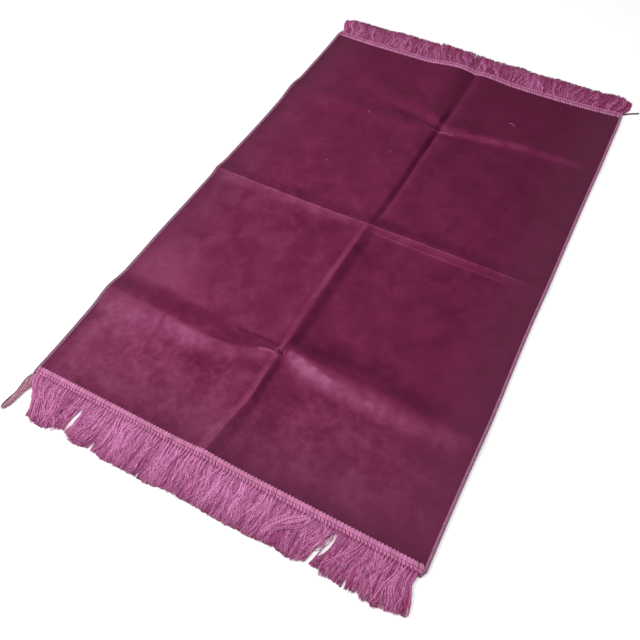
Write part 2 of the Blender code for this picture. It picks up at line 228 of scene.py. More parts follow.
class Finish:
    # one material with a Principled shader; constants go on the shader's own sockets
    def __init__(self, name, constants):
        self.material = bpy.data.materials.new(name)
        self.material.use_nodes = True
        self.tree = self.material.node_tree
        self.shader = self.tree.nodes["Principled BSDF"]
        for socket, value in constants.items():
            self.shader.inputs[socket].default_value = value
        self.place = self.node("ShaderNodeTexCoord", output="Object")

    def node(self, kind, settings=None, inputs=None, output=0):
        made = self.tree.nodes.new(kind)
        for name, value in (settings or {}).items():
            if name == "stops":
                stops = made.color_ramp.elements
                for place, _ in value[1:-1]:
                    stops.new(place)
                for stop, (place, colour) in zip(stops, value):
                    stop.position, stop.color = place, (*colour, 1)
            else:
                setattr(made, name, value)
        for name, value in (inputs or {}).items():
            if isinstance(value, Tap):
                self.tree.links.new(value.socket, made.inputs[name])
            else:
                made.inputs[name].default_value = value
        return Tap(self, made.outputs[output])

    def noise(self, size, detail, roughness, swirl=0.0):
        # noise from 0 to 1 whose patches are about size metres, drawn out where swirl is high
        inputs = {"Scale": 1 / size, "Detail": detail, "Roughness": roughness, "Distortion": swirl}
        return self.node("ShaderNodeTexNoise", inputs={"Vector": self.place, **inputs})

    def attribute(self, name):
        return self.node("ShaderNodeAttribute", {"attribute_name": name}, output="Fac")

    def mix(self, share, low, high):
        low, high = (c if isinstance(c, Tap) else (*c, 1) for c in (low, high))
        inputs = {0: share, 6: low, 7: high}
        return self.node("ShaderNodeMix", {"data_type": "RGBA"}, inputs, output=2)

    def feed(self, socket, tap):
        self.tree.links.new(tap.socket, self.shader.inputs[socket])

    def bump(self, height, depth, strength):
        inputs = {"Height": height, "Distance": depth, "Strength": strength}
        self.feed("Normal", self.node("ShaderNodeBump", inputs=inputs))


velvetLook = {
    "tones": [
        # nap, colour: from the pile seen into to the pile laid over, and from painted shade to
        # painted light, as the nap holds both
        (0.0, (0.044, 0.0016, 0.015)), (0.25, (0.084, 0.008, 0.032)),
        (0.42, (0.124, 0.013, 0.048)), (0.7, (0.2, 0.036, 0.096)), (1.0, (0.31, 0.086, 0.18)),
    ],
    "worn": (0.1, 0.027, 0.056),  # painted sheen haze: a duller colour near the borders
    "sheenHazeShare": 0.34,
    "shader": {
        "Roughness": 0.9,
        "Specular IOR Level": 0.06,
        "Sheen Weight": 0.2,
        "Sheen Roughness": 0.35,
        "Sheen Tint": (0.8, 0.42, 0.62, 1),
    },
    "pile": (0.0009, 2.0, 0.7),  # size, detail and roughness of its noise
    "pileTone": 0.05,
    "marks": {
        # attribute: noise with its swirl, from and to, how far it moves the nap, and its relief
        "mottle": ((0.048, 5.0, 0.58, 0.45), (0.36, 0.64), 0.34, 0.6),
        "flecks": ((0.013, 3.0, 0.6, 0.2), (0.3, 0.7), 0.16, 0.8),
    },
    "bump": (0.0005, 0.5),  # depth and strength
}


def velvetFinish():
    look = velvetLook
    finish = Finish("velvet", look["shader"])
    height = finish.noise(*look["pile"])
    tone = finish.attribute("shade") + (height - 0.5) * look["pileTone"]
    for mark, (noise, ends, depth, relief) in look["marks"].items():
        patches = finish.noise(*noise).between(*ends) - 0.5
        tone = tone + finish.attribute(mark) * patches * depth
        height = height + patches * relief
    colour = finish.node("ShaderNodeValToRGB", {"stops": look["tones"]}, {0: tone})
    # painted sheen: a duller haze mixed in near the borders
    colour = finish.mix(finish.attribute("worn") * look["sheenHazeShare"], colour, look["worn"])
    finish.feed("Base Color", colour)
    finish.bump(height, *look["bump"])
    return finish.material


yarnLooks = {
    # name: shaded and lit colour, which a yarn's shade mixes as painted light and shade and as its
    # own tone; turns of its two plies per metre
    "fringe yarn": ((0.285, 0.021, 0.115), (0.84, 0.33, 0.64), 210),
    "corner yarn": ((0.26, 0.07, 0.13), (0.7, 0.35, 0.47), 210),
    "heading yarn": ((0.19, 0.034, 0.105), (0.7, 0.26, 0.48), 260),
    "overlock yarn": ((0.17, 0.08, 0.125), (0.56, 0.215, 0.39), 300),
    "loose thread": ((0.05, 0.04, 0.045), (0.15, 0.118, 0.135), 320),
}
yarnGrain = {
    "shader": {
        "Roughness": 0.78,
        "Specular IOR Level": 0.18,
        "Sheen Weight": 0.17,
        "Sheen Roughness": 0.4,
        "Sheen Tint": (0.95, 0.62, 0.82, 1),
    },
    "uneven": [((0.012, 2.0, 0.6), 0.25), ((0.004, 3.0, 0.65), 0.42)],  # noise, tone
    "plyTone": 0.05,
    "plyRelief": 0.5,
    "fuzz": (0.0006, 2.0, 0.7),
    "bump": (0.0003, 0.6),
}


def yarnFinish(name):
    # each yarn has its own tone and painted light and shade from its shade attribute, and its
    # two plies wind round it: painted light on a ply and painted shade between two, as a sine of
    # the way round and the way along
    shaded, lit, turns = yarnLooks[name]
    finish = Finish(name, yarnGrain["shader"])
    uv = finish.node("ShaderNodeTexCoord", output="UV")
    around, along = (
        finish.node("ShaderNodeSeparateXYZ", inputs={0: uv}, output=axis) for axis in (0, 1)
    )
    plyWave = ((around * 2 + along * turns) * (2 * math.pi)).sine()
    tone = finish.attribute("shade") + plyWave * yarnGrain["plyTone"]
    for noise, depth in yarnGrain["uneven"]:
        tone = tone + (finish.noise(*noise) - 0.5) * depth
    finish.feed("Base Color", finish.mix(tone.between(0.0, 1.0), shaded, lit))
    height = plyWave * yarnGrain["plyRelief"] + finish.noise(*yarnGrain["fuzz"])
    finish.bump(height, *yarnGrain["bump"])
    return finish.material


def floorFinish():
    finish = Finish("floor", {"Roughness": 0.95, "Specular IOR Level": 0.1})
    share, dark = view["floorShade"]
    pale = view["floorColour"]
    patches = finish.noise(*view["floorPatches"]) * share
    finish.feed("Base Color", finish.mix(patches, pale, [c * dark for c in pale]))
    return finish.material


finishes = {name: yarnFinish(name) for name in yarnLooks}
finishes["velvet"] = velvetFinish()
floor.data.materials.append(floorFinish())
print("finishes made")


def meshPiece(name, shapes, finish, node=None, marks=None):
    # a piece that rides on the rug and stands for a node. Shapes are (points, [(faces, uv of
    # their corners)], shade of each point), joined in one mesh
    mesh = bpy.data.meshes.new(name)
    starts = np.cumsum([0] + [len(points) for points, _, _ in shapes])
    points = np.concatenate([points for points, _, _ in shapes]) + middle
    parts = [
        (faces + start, uv) for (_, some, _), start in zip(shapes, starts) for faces, uv in some
    ]
    sizes = np.concatenate([np.full(len(faces), faces.shape[1]) for faces, _ in parts])
    corners = np.concatenate([faces.ravel() for faces, _ in parts])
    mesh.vertices.add(len(points))
    mesh.vertices.foreach_set("co", points.astype(np.float32).ravel())
    mesh.loops.add(len(corners))
    mesh.loops.foreach_set("vertex_index", corners.astype(np.int32))
    mesh.polygons.add(len(sizes))
    mesh.polygons.foreach_set("loop_start", (np.cumsum(sizes) - sizes).astype(np.int32))
    mesh.update(calc_edges=True)
    mesh.shade_smooth()
    uv = np.concatenate([uv.ravel() for _, uv in parts])
    mesh.uv_layers.new(name="UVMap").data.foreach_set("uv", uv.astype(np.float32))
    marks = {"shade": np.concatenate([shade for _, _, shade in shapes]), **(marks or {})}
    for mark, values in marks.items():
        layer = mesh.attributes.new(mark, "FLOAT", "POINT")
        layer.data.foreach_set("value", values.astype(np.float32))
    mesh.materials.append(finishes[finish])
    piece = addObject(name, mesh)
    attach(piece, "root")
    if node:
        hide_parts(node)
    print(name, int((sizes - 2).sum()), "triangles")
    return piece


def unmapped(*faceLists):
    return [(faces, np.zeros((*faces.shape, 2))) for faces in faceLists]


def numbered(shape, start=0):
    return start + np.arange(math.prod(shape)).reshape(shape)


def tubes(paths, radii, sides, shade, twist=0.0, lobes=0, lobeDepth=0.0, across=(0, 0, 1)):
    # tubes along many paths at once. Corner k of a ring stands at the path's point plus
    # radius * (cos a * side + sin a * lift), with a = 2 pi k / sides + twist. side is square to
    # the path and to across, lift is square to both, and the radius swells in lobes round it
    paths = np.asarray(paths, float)
    count, rings = paths.shape[:2]
    tangent = unit(np.gradient(paths, axis=1))
    side = unit(np.cross(tangent, across))[:, :, None]
    lift = np.cross(side, tangent[:, :, None])
    turn = 2 * np.pi * np.arange(sides) / sides
    swell = 1 + lobeDepth * np.cos(lobes * turn)
    radius = (np.broadcast_to(radii, (count, rings))[:, :, None] * swell)[..., None]
    angle = (turn + np.broadcast_to(twist, (count, rings))[:, :, None])[..., None]
    points = paths[:, :, None] + radius * (np.cos(angle) * side + np.sin(angle) * lift)
    index = numbered((count, rings, sides))
    after = np.roll(index, -1, axis=2)
    quads = np.stack([index[:, :-1], index[:, 1:], after[:, 1:], after[:, :-1]], axis=-1)
    steps = np.linalg.norm(np.diff(paths, axis=1), axis=2)
    along = np.concatenate([np.zeros((count, 1)), np.cumsum(steps, axis=1)], axis=1)
    low, high = (
        np.broadcast_to(ends[..., None], quads.shape[:3]) for ends in (along[:, :-1], along[:, 1:])
    )
    here = np.broadcast_to(np.arange(sides) / sides, quads.shape[:3])
    there = here + 1 / sides
    uv = np.stack([here, low, here, high, there, high, there, low], axis=-1)
    faces = [(quads.reshape(-1, 4), uv), *unmapped(index[:, 0], index[:, -1, ::-1])]
    shades = np.broadcast_to(np.asarray(shade, float), (count, rings))
    return points.reshape(-1, 3), faces, np.repeat(shades.ravel(), sides)


def closedBar(rings, shade, isTurned, first=0):
    # a solid bar through rings of points, with a face on each of its two ends. The faces round
    # it start at their corner number first
    index = numbered(rings.shape[:2])
    after = np.roll(index, -1, axis=1)
    quads = np.stack([index[:-1], after[:-1], after[1:], index[1:]], -1).reshape(-1, 4)
    faces = [np.roll(quads, -first, axis=1), index[:1, ::-1], index[-1:]]
    if isTurned:
        faces = [some[:, ::-1] for some in faces]
    return rings.reshape(-1, 3), unmapped(*faces), np.full(index.size, shade)


folds = {
    # the cloth's own folds, as in the part: which way each runs, its edges (crest, low foot,
    # high foot), then, in mm, rows of at, crest, height, low and high flank
    "near ridge": ("lengthwise", (0.6, 0, 0), [
        (-565, -18, 3.8, 20, 28), (-500, -13, 3.6, 18, 24), (-440, -4, 3.4, 14, 18),
        (-385, -5, 2.8, 12, 14), (-345, -4, 2.4, 12, 16), (-310, -4, 2.8, 12, 22),
        (-240, -5, 2.2, 14, 26), (-160, -4, 2.8, 13, 26), (-30, -1, 2, 14, 24), (20, 0, 0, 12, 22),
    ]),
    "near rise": ("lengthwise", (0, 0, 0), [
        (-565, -12, 5, 60, 80), (-480, -10, 3.6, 60, 80), (-380, -8, 2, 60, 80),
        (-200, -6, 1.6, 50, 70), (-40, -4, 1, 50, 60), (30, 0, 0, 40, 50),
    ]),
    "far left swell": ("lengthwise", (0, 0, 1.6), [
        (-10, -13, 0, 60, 16), (60, -4, 2.4, 70, 16), (200, -2, 3.2, 80, 15),
        (300, -1, 3.4, 80, 15), (380, -4, 3.6, 90, 19), (420, -11, 4.2, 90, 28),
        (480, -21, 5.8, 95, 38), (520, -24, 6.7, 92, 40), (565, -33, 7.6, 86, 42),
    ]),
    "far right swell": ("lengthwise", (0, 1.6, 0), [
        (0, 17, 0, 10, 50), (80, 24, 1.8, 13, 60), (200, 26, 2.3, 14, 60), (310, 29, 2.5, 15, 60),
        (430, 31, 2.2, 18, 70), (520, 34, 3.2, 21, 70), (565, 30, 3.8, 23, 70),
    ]),
    "middle": ("crosswise", (1.6, 0, 0), [
        (-352, -4, 5.4, 32, 42), (-240, -6, 3.6, 24, 36), (-60, -6, 3, 20, 30), (60, -4, 3, 20, 32),
        (220, -4, 2.6, 20, 36), (352, -3, 1, 20, 34),
    ]),
    "near quarter": ("crosswise", (0.4, 0, 0), [
        (-352, -360, 6.9, 52, 50), (-220, -362, 6, 46, 50), (-100, -365, 5.5, 40, 44),
        (-30, -346, 5.2, 36, 28), (12, -331, 5.4, 42, 30), (70, -329, 5.4, 46, 36),
        (160, -331, 5, 48, 40), (260, -333, 3, 46, 40), (352, -336, 1, 40, 36),
    ]),
    "far quarter, lower": ("crosswise", (0.3, 0, 1.2), [
        (-352, 310, 5.5, 60, 40), (-200, 305, 4, 52, 34), (-100, 304, 3.4, 46, 30),
        (-30, 304, 3.4, 38, 24), (10, 305, 1.4, 30, 20), (36, 305, 0, 26, 20),
    ]),
    "far quarter, upper": ("crosswise", (0.4, 0.6, 0), [
        (-230, 412, 0, 36, 50), (-160, 400, 2.6, 38, 52), (-100, 386, 3.8, 38, 52),
        (-35, 370, 4.2, 32, 48), (24, 334, 5.2, 22, 54), (44, 334, 5.2, 25, 55),
        (90, 341, 4.8, 24, 60), (180, 349, 4, 29, 60), (300, 357, 2, 31, 52),
        (352, 358, 0.8, 24, 48),
    ]),
}
farEndBow = [
    # mm: x, how far the far end lies beyond its nominal place
    (-344, 2.4), (-300, -0.2), (-220, -2), (-120, -2), (-40, -0.6), (60, -1.4), (120, -5.2),
    (180, -6.4), (240, -5.8), (300, -3.4), (344, 0.4),
]
edgeBow = {
    # mm: y, how far the left edge (-1) and the right edge (1) lie further right
    -1: [
        (-565, 0), (-545, 0), (-500, 0.2), (-450, -0.6), (-400, -1.8), (-350, -1), (-300, -0.6),
        (-200, -1.3), (-100, -0.5), (-50, -0.6), (0, 0.3), (50, 0.8), (100, 1.9), (200, 2.7),
        (250, 2), (300, 1.4), (350, 2), (450, 2), (500, 1.4), (540, 0), (565, 0),
    ],
    1: [
        (-565, 0), (-450, -0.3), (-350, 0.7), (-290, 1.4), (-200, 0.2), (-90, -0.8), (0, 0.1),
        (150, 0), (250, 0.2), (350, 1.2), (450, 1.2), (530, 0.8), (545, 0), (565, 0),
    ],
}


def edgeShift(side, y):
    return through(*metres(edgeBow[side]), y)


def foldLift(fold, x, y):
    # a hump whose crest wanders: 1 at the crest and 0 at both feet by a cubic, made crisp at
    # the crest or at a foot by the edges' shares of that cubic's end slopes
    runs, (crestEdge, lowEdge, highEdge), stations = fold
    along, across = (y, x) if runs == "lengthwise" else (x, y)
    at, *columns = metres(stations)
    crest, height, low, high = (through(at, column, along) for column in columns)
    isLow = across < crest
    t = np.clip(np.abs(across - crest) / np.where(isLow, low, high), 0.0, 1.0)
    profile = 2 * t**3 - 3 * t**2 + 1 - crestEdge * (t**3 - 2 * t**2 + t)
    profile = profile - np.where(isLow, lowEdge, highEdge) * (t**3 - t**2)
    return np.maximum(height, 0.0) * profile


def clothLift(x, y):
    # how high the cloth's underside is above the floor
    x, y = np.broadcast_arrays(np.asarray(x, float), np.asarray(y, float))
    return sum(foldLift(fold, x, y) for fold in folds.values())


def clothEnd(end, x):
    # the near end (-1) or far end (1) at x: how far it is from the middle, and its lift
    reach = rug["halfLength"] + (through(*metres(farEndBow), x) if end > 0 else 0 * x)
    return reach, clothLift(x, end * reach)


tails = {
    # the two loose ends of overlock chain, with their routes in mm
    "near": {
        "diameter": 0.0026,
        "fullness": 0.45,
        "finish": "overlock yarn",
        "shade": 0.1,
        "route": [
            (-350, -564), (-351.8, -569.6), (-352.8, -578), (-351.6, -589), (-350.4, -600),
            (-351.6, -611), (-353.2, -621), (-353.6, -629), (-352.4, -635),
        ],
    },
    "far": {
        "diameter": 0.0018,
        "fullness": 0.76,
        "finish": "loose thread",
        "shade": 0.14,
        "route": [
            (352, 556.8), (355.2, 559.4), (360.4, 564), (368.4, 569), (376.2, 573.6),
            (382.2, 577.6),
        ],
    },
    "clearance": 0.0001,
    "twistLength": 0.0075,  # one whole turn of the two strands
    "rings": 60,
    "sides": 12,
    "lobes": (2, 0.24),  # number and depth
    "lobeReach": 1.12,  # how far a lobe reaches down, of the radius
    "tip": (0.9, 0.75, 0.5),  # how the last rings narrow
    "lumps": (0.05, 900),
    "strandTone": 0.12,
}


def makeTail(name, node, settings):
    # two strands laid round each other: a tube with two lobes that turn as it goes along
    diameter, fullness = settings["diameter"], settings["fullness"]
    line = sampled(settings["route"], tails["rings"])
    height = diameter * max(0.5, tails["lobeReach"] * fullness) + tails["clearance"]
    line = np.column_stack([line, np.full(len(line), height)])
    along = travelledOn(line)
    twist = 2 * np.pi * along / tails["twistLength"]
    depth, perMetre = tails["lumps"]
    radii = diameter * fullness * (1 + depth * np.sin(along * perMetre))
    radii[-3:] *= tails["tip"]
    shade = settings["shade"] + tails["strandTone"] * np.sin(2 * twist)
    shape = tubes([line], radii, tails["sides"], shade, twist, *tails["lobes"])
    piece = meshPiece(name, [shape], settings["finish"], node)


makeTail("thread_end_near_left", "thread_tail_near_left", tails["near"])
makeTail("thread_end_far_right", "thread_tail_far_right", tails["far"])
print("loose ends made")


velvet = {
    "columns": 256,
    "rows": 336,
    "underStep": 4,  # the underside has one face for this many of the top's, each way
    "tuck": (0.0022, 0.0024, -0.001),  # how far it runs on under the bindings, near and far trim
    "tuckReach": 0.05,
    "farBowReach": 0.09,
    "sideBow": (0.26, 0.08),  # where the side edges' bow starts, and over what width it grows
    "columnCrease": (0.0, 0.03, 2.4),  # where the mesh is denser: place, reach, how much
    "rowCreases": [(-0.343, 0.045, 2.6), (-0.004, 0.03, 3.0), (0.325, 0.05, 2.2)],
    "lengthwiseReach": 0.12,  # of the bend of its lines towards the lengthwise crease
    "undulation": 0.00035,
    "waves": [(0.11, 1, 1.0), (0.055, 2, 0.5), (0.02, 3, 0.2)],  # size, seed, share
    "ragged": [(0.012, 5, 0.35), (0.005, 6, 0.25)],  # the same for the small creases' tone
    "creaseFade": (0.12, 0.15),  # the share of its route in which one fades, and its start
    "toneWidth": 1.25,  # of a small crease, of its width
    "thinnest": 0.0016,
    "underTone": 0.3,
    "sharpFrom": 60,  # degrees
}
creaseLines = [
    # fold, the mesh line's nominal place, reach of the bend
    ("near quarter", -0.343, 0.07), ("middle", -0.004, 0.03), ("far quarter, lower", 0.305, 0.03),
]
lengthwiseCrease = [
    # mm: y, x
    (-565, -18), (-500, -13), (-440, -4), (-345, -4), (-310, -4), (-30, -1), (80, 11), (280, 13),
    (320, 14), (430, 14), (520, 14), (565, 8),
]
smallCreases = [
    # in mm half its width to the left and right of its route, and its height; tone, which is
    # painted light and shade on the crease; route in mm
    # the middle crease: painted highlight line and band, second line, painted far shade
    (2.6, 2.6, 0.3, 0.2, [(-344, -4.5), (-200, -6), (-50, -5.5), (50, -4), (344, -3)]),
    (4, 26, 0, 0.1, [(-344, -8), (-180, -9), (-30, -9)]),
    (4, 5, 0.4, 0.09, [(10, -17), (120, -19), (300, -17)]),
    (20, 6, 0, -0.06, [(-200, 10), (-30, 9), (200, 12)]),
    # the far half's valley: painted dark wall, painted bright wall, fan
    (11, 6, -0.4, -0.13, [(5, 4), (7, 60), (9, 160), (10, 290), (11, 360), (12, 410)]),
    (6, 22, 0, 0.01, [(16, 4), (18, 60), (20, 160), (21, 290), (21, 380), (20, 510), (15, 540)]),
    (50, 16, 0, -0.05, [(-1, 410), (-1, 470), (-4, 545)]),
    # the far pinch: fold, left tip, dimple
    (3.2, 3.2, 0.9, 0.3, [(-4, 309.5), (12, 311), (50, 313.5)]),
    (3, 3, 0.6, 0.18, [(-22, 319), (-14, 311), (-4, 306)]),
    (8, 8, -1.2, -0.12, [(-4, 322), (10, 324)]),
    # the arms of the far crease: trough, two rays on the left, the right arm
    (9, 7, -0.6, -0.09, [(-110, 340), (-60, 335), (-8, 322)]),
    (6, 9, 0.3, 0.05, [(-200, 400), (-150, 373), (-90, 360), (-30, 352)]),
    (6, 14, 0, 0.05, [(-110, 480), (-70, 440), (-30, 390), (-10, 350)]),
    (14, 11, 0, 0.17, [(12, 320), (50, 321), (100, 329), (170, 340), (260, 343), (330, 341)]),
    # the near pinch: dimple, fold
    (7, 7, -1.6, -0.24, [(-8, -340), (2, -337)]),
    (3, 5, 1, 0.24, [(-42, -347), (-20, -343), (-8, -345)]),
    # left of it: furrow, far flank, arc, hollow, side crease
    (7, 4, -0.5, -0.14, [(-100, -326), (-60, -325), (-30, -324), (-8, -329)]),
    (20, 30, 0, -0.12, [(-350, -325), (-260, -326), (-190, -330)]),
    (6, 18, 0, 0.1, [(-230, -370), (-160, -374), (-100, -370), (-50, -357), (-20, -344)]),
    (14, 26, 0, -0.1, [(-160, -415), (-80, -398), (-20, -372)]),
    (6, 8, -0.4, -0.08, [(-220, -362), (-216, -385), (-214, -425)]),
    # right of it: the brightest part, far flank, band, low line
    (5, 22, 0, 0.26, [(0, -330), (25, -334), (60, -340), (100, -350)]),
    (24, 24, 0, -0.13, [(10, -289), (120, -287), (200, -290)]),
    (20, 26, 0, 0.2, [(10, -338), (80, -352), (170, -358), (260, -357), (345, -352)]),
    (5, 5, 0.3, 0.06, [(150, -410), (250, -424), (340, -435)]),
    # the near ridge: crest, left flank, shade
    (7, 4, 0, -0.06, [(-9, -310), (-10, -240), (-9, -170)]),
    (16, 4, 0, -0.09, [(-22, -545), (-17, -480), (-10, -420), (-8, -330), (-6, -200)]),
    (8, 12, 0, -0.09, [(4, -340), (6, -160), (8, -20)]),
]
napAndCreaseLightPatches = [
    # x, y, reach in x and in y, tone; those at y about -0.33 to -0.37 right of the middle are
    # painted light and shade of the near quarter crease
    (-0.3, -0.45, 0.16, 0.12, 0.1), (-0.31, -0.27, 0.09, 0.05, 0.2),
    (-0.35, -0.45, 0.03, 0.08, -0.08), (0.21, -0.475, 0.1, 0.04, 0.07),
    (-0.32, -0.39, 0.07, 0.03, 0.05), (0.2, -0.46, 0.2, 0.08, 0.06),
    (-0.31, 0.52, 0.1, 0.04, -0.06), (0.14, 0.08, 0.18, 0.09, 0.05),
    (-0.34, 0.3, 0.022, 0.22, -0.06), (0.15, -0.37, 0.06, 0.03, 0.05),
    (0.2, 0.39, 0.12, 0.07, 0.035), (0.08, -0.346, 0.02, 0.014, -0.1),
    (0.125, -0.357, 0.032, 0.014, 0.11), (0.32, -0.35, 0.03, 0.02, 0.05),
    (0.01, -0.325, 0.01, 0.008, 0.22),
]
napWithPaintedLight = {
    "middle": 0.36,
    "perHalf": (-0.11, -0.12),  # from the middle to the right edge and to the far end
    # painted light and shade: the cloth is lighter where it slopes towards the light, darker where
    # it slopes away
    "towardsLight": (0.78, 0.62),
    "perSlope": (1.25, 0.5),  # in the near half and in the far half
    "halves": (-0.06, 0.16),  # y from where, and over what length, the near value gives way
    "slopeLimits": (0.34, 0.24),  # how much darker away from the light, and lighter towards it
    "mottle": [
        # y, how strong the patches and the flecks are
        (-0.55, 0.62, 1.15), (-0.4, 0.6, 1.05), (-0.33, 0.46, 0.46), (-0.05, 0.48, 0.46),
        (0.1, 0.36, 0.36), (0.34, 0.32, 0.3), (0.44, 0.18, 0.16), (0.55, 0.16, 0.14),
    ],
    "mottleLoss": 0.3,  # how much weaker they are at the right edge
    "borders": {
        # painted shade along each border, beside the bindings and headings: how far it darkens the
        # nap inwards, and how much
        "left": (0.03, -0.12), "right": (0.012, -0.03), "near": (0.026, -0.15),
        "far": (0.014, -0.05),
    },
    "sheenHazeReach": 0.13,  # of the painted sheen haze, from the left, right and near borders inwards
    "haze": (0.22, -0.45, 0.2, 0.1, 0.5),  # more of the painted sheen haze, as a soft spot
}


def spacedLine(half, count, dense):
    # places from -half to half that stand closer where dense says: steps are as the inverse
    # of a density of 1 plus a bell curve for each of its rows
    fine = np.linspace(-half, half, 4001)
    density = 1 + sum(much * np.exp(-(((fine - at) / reach) ** 2)) for at, reach, much in dense)
    total = np.append(0.0, np.cumsum((density[1:] + density[:-1]) / 2))
    return np.interp(np.linspace(0, total[-1], count + 1), total, fine)


def bendTowards(line, nominal, reach, values):
    return values + (line - nominal) * (1 - ease(np.abs(values - nominal), 0, reach))


def nearRoute(x, y, route):
    # how far each point is from a smooth route, above 0 to its left, and how far along the
    # route its nearest is
    line = sampled(route, 6 * len(route))
    best = np.full(x.shape, np.inf)
    side = np.ones(x.shape)
    where = np.zeros(x.shape)
    travelled = 0.0
    for (ax, ay), (bx, by) in zip(line[:-1], line[1:]):
        dx, dy = bx - ax, by - ay
        length = math.hypot(dx, dy)
        t = np.clip(((x - ax) * dx + (y - ay) * dy) / length**2, 0, 1)
        away = np.hypot(x - ax - t * dx, y - ay - t * dy)
        closer = away < best
        best = np.where(closer, away, best)
        side = np.where(closer, np.where(dx * (y - ay) > dy * (x - ax), 1, -1), side)
        where = np.where(closer, travelled + t * length, where)
        travelled += length
    return best * side, where, travelled


def creaseDetail(x, y):
    # the small creases' heights and tones: each is (1 - (d / half width)^2)^2 across its
    # route, its tone a quarter wider and ragged, and both are faded at the route's ends. The tones
    # are painted light and shade on the creases
    height = np.zeros(x.shape)
    tone = np.zeros(x.shape)
    ragged = layeredNoise(x, y, velvet["ragged"])
    share, atEnd = velvet["creaseFade"]
    widen = velvet["toneWidth"]
    for left, right, rise, mark, route in smallCreases:
        left, right, rise = metres((left, right, rise))
        away, along, total = nearRoute(x, y, route)
        fade = math.prod(ease(d / (share * total) + atEnd) for d in (along, total - along))
        half = np.where(away > 0, left, right)
        height += rise * np.maximum(1 - (away / half) ** 2, 0) ** 2 * fade
        tone += mark * np.maximum(1 - (away / (widen * half)) ** 2, 0) ** 2 * fade * (1 + ragged)
    return height, tone


def slopesOf(z, x, y):
    # dz/dx and dz/dy on a bent grid, from the changes along its rows and its columns
    (zRow, zColumn), (xRow, xColumn), (yRow, yColumn) = (np.gradient(v) for v in (z, x, y))
    area = xColumn * yRow - xRow * yColumn
    alongX = (zColumn * yRow - zRow * yColumn) / area
    return alongX, (xColumn * zRow - xRow * zColumn) / area


def velvetGrid():
    # places over the cloth: even rows and columns, bent to follow the creases and the edges
    halfWidth, halfLength = rug["halfWidth"] + velvet["tuck"][0], rug["halfLength"]
    columns = spacedLine(halfWidth, velvet["columns"], [velvet["columnCrease"]])
    x, y = np.meshgrid(columns, spacedLine(halfLength, velvet["rows"], velvet["rowCreases"]))
    bent = y
    for name, nominal, reach in creaseLines:
        at, crest, *_ = metres(folds[name][2])
        bent = bendTowards(through(at, crest, x), nominal, reach, bent)
    farBow = through(*metres(farEndBow), x)
    bent = bent + farBow * (1 - ease(halfLength - bent, 0, velvet["farBowReach"]))
    crease = through(*metres(lengthwiseCrease), bent)
    x = bendTowards(crease, 0.0, velvet["lengthwiseReach"], x)
    y = bent
    for end, tuck in zip((-1, 1), velvet["tuck"][1:]):
        y = y + end * tuck * (1 - ease(halfLength - end * bent, 0, velvet["tuckReach"]))
    for side in (-1, 1):
        x = x + edgeShift(side, y) * ease(side * x, *velvet["sideBow"])
    return x, y, bent


def napToneWithPaintedLight(x, y, bent, top):
    # the pile's tone: painted light and shade from its slope to the light, listed patches, some of
    # them painted light and shade by the near quarter crease, and painted shade along the borders;
    # and where the painted sheen haze lies
    halfWidth, halfLength = rug["halfWidth"] + velvet["tuck"][0], rug["halfLength"]
    perX, perY = napWithPaintedLight["perHalf"]
    tone = napWithPaintedLight["middle"] + perX * x / halfWidth + perY * y / halfLength
    # painted light and shade from the slope towards the light
    facing = sum(way * slope for way, slope in zip(napWithPaintedLight["towardsLight"], slopesOf(top, x, y)))
    limit = np.where(facing < 0, *napWithPaintedLight["slopeLimits"])
    near, far = napWithPaintedLight["perSlope"]
    perSlope = near + (far - near) * ease(y, *napWithPaintedLight["halves"])
    tone = tone + limit * np.tanh(perSlope * facing / limit)
    tone = tone + sum(spot(x, y, patch) for patch in napAndCreaseLightPatches)
    inside = {
        "left": x + halfWidth, "right": halfWidth - x, "near": y + halfLength,
        "far": halfLength - bent,
    }
    # painted shade along the borders, beside the bindings and headings
    for border, (reach, much) in napWithPaintedLight["borders"].items():
        tone = tone + much * (1 - ease(inside[border], 0, reach))
    # painted sheen haze, most near the left, right and near borders and in one soft spot
    inwards = np.minimum(halfWidth - np.abs(x), y + halfLength)
    return tone, 1 - ease(inwards, 0, napWithPaintedLight["sheenHazeReach"]) + spot(x, y, napWithPaintedLight["haze"])


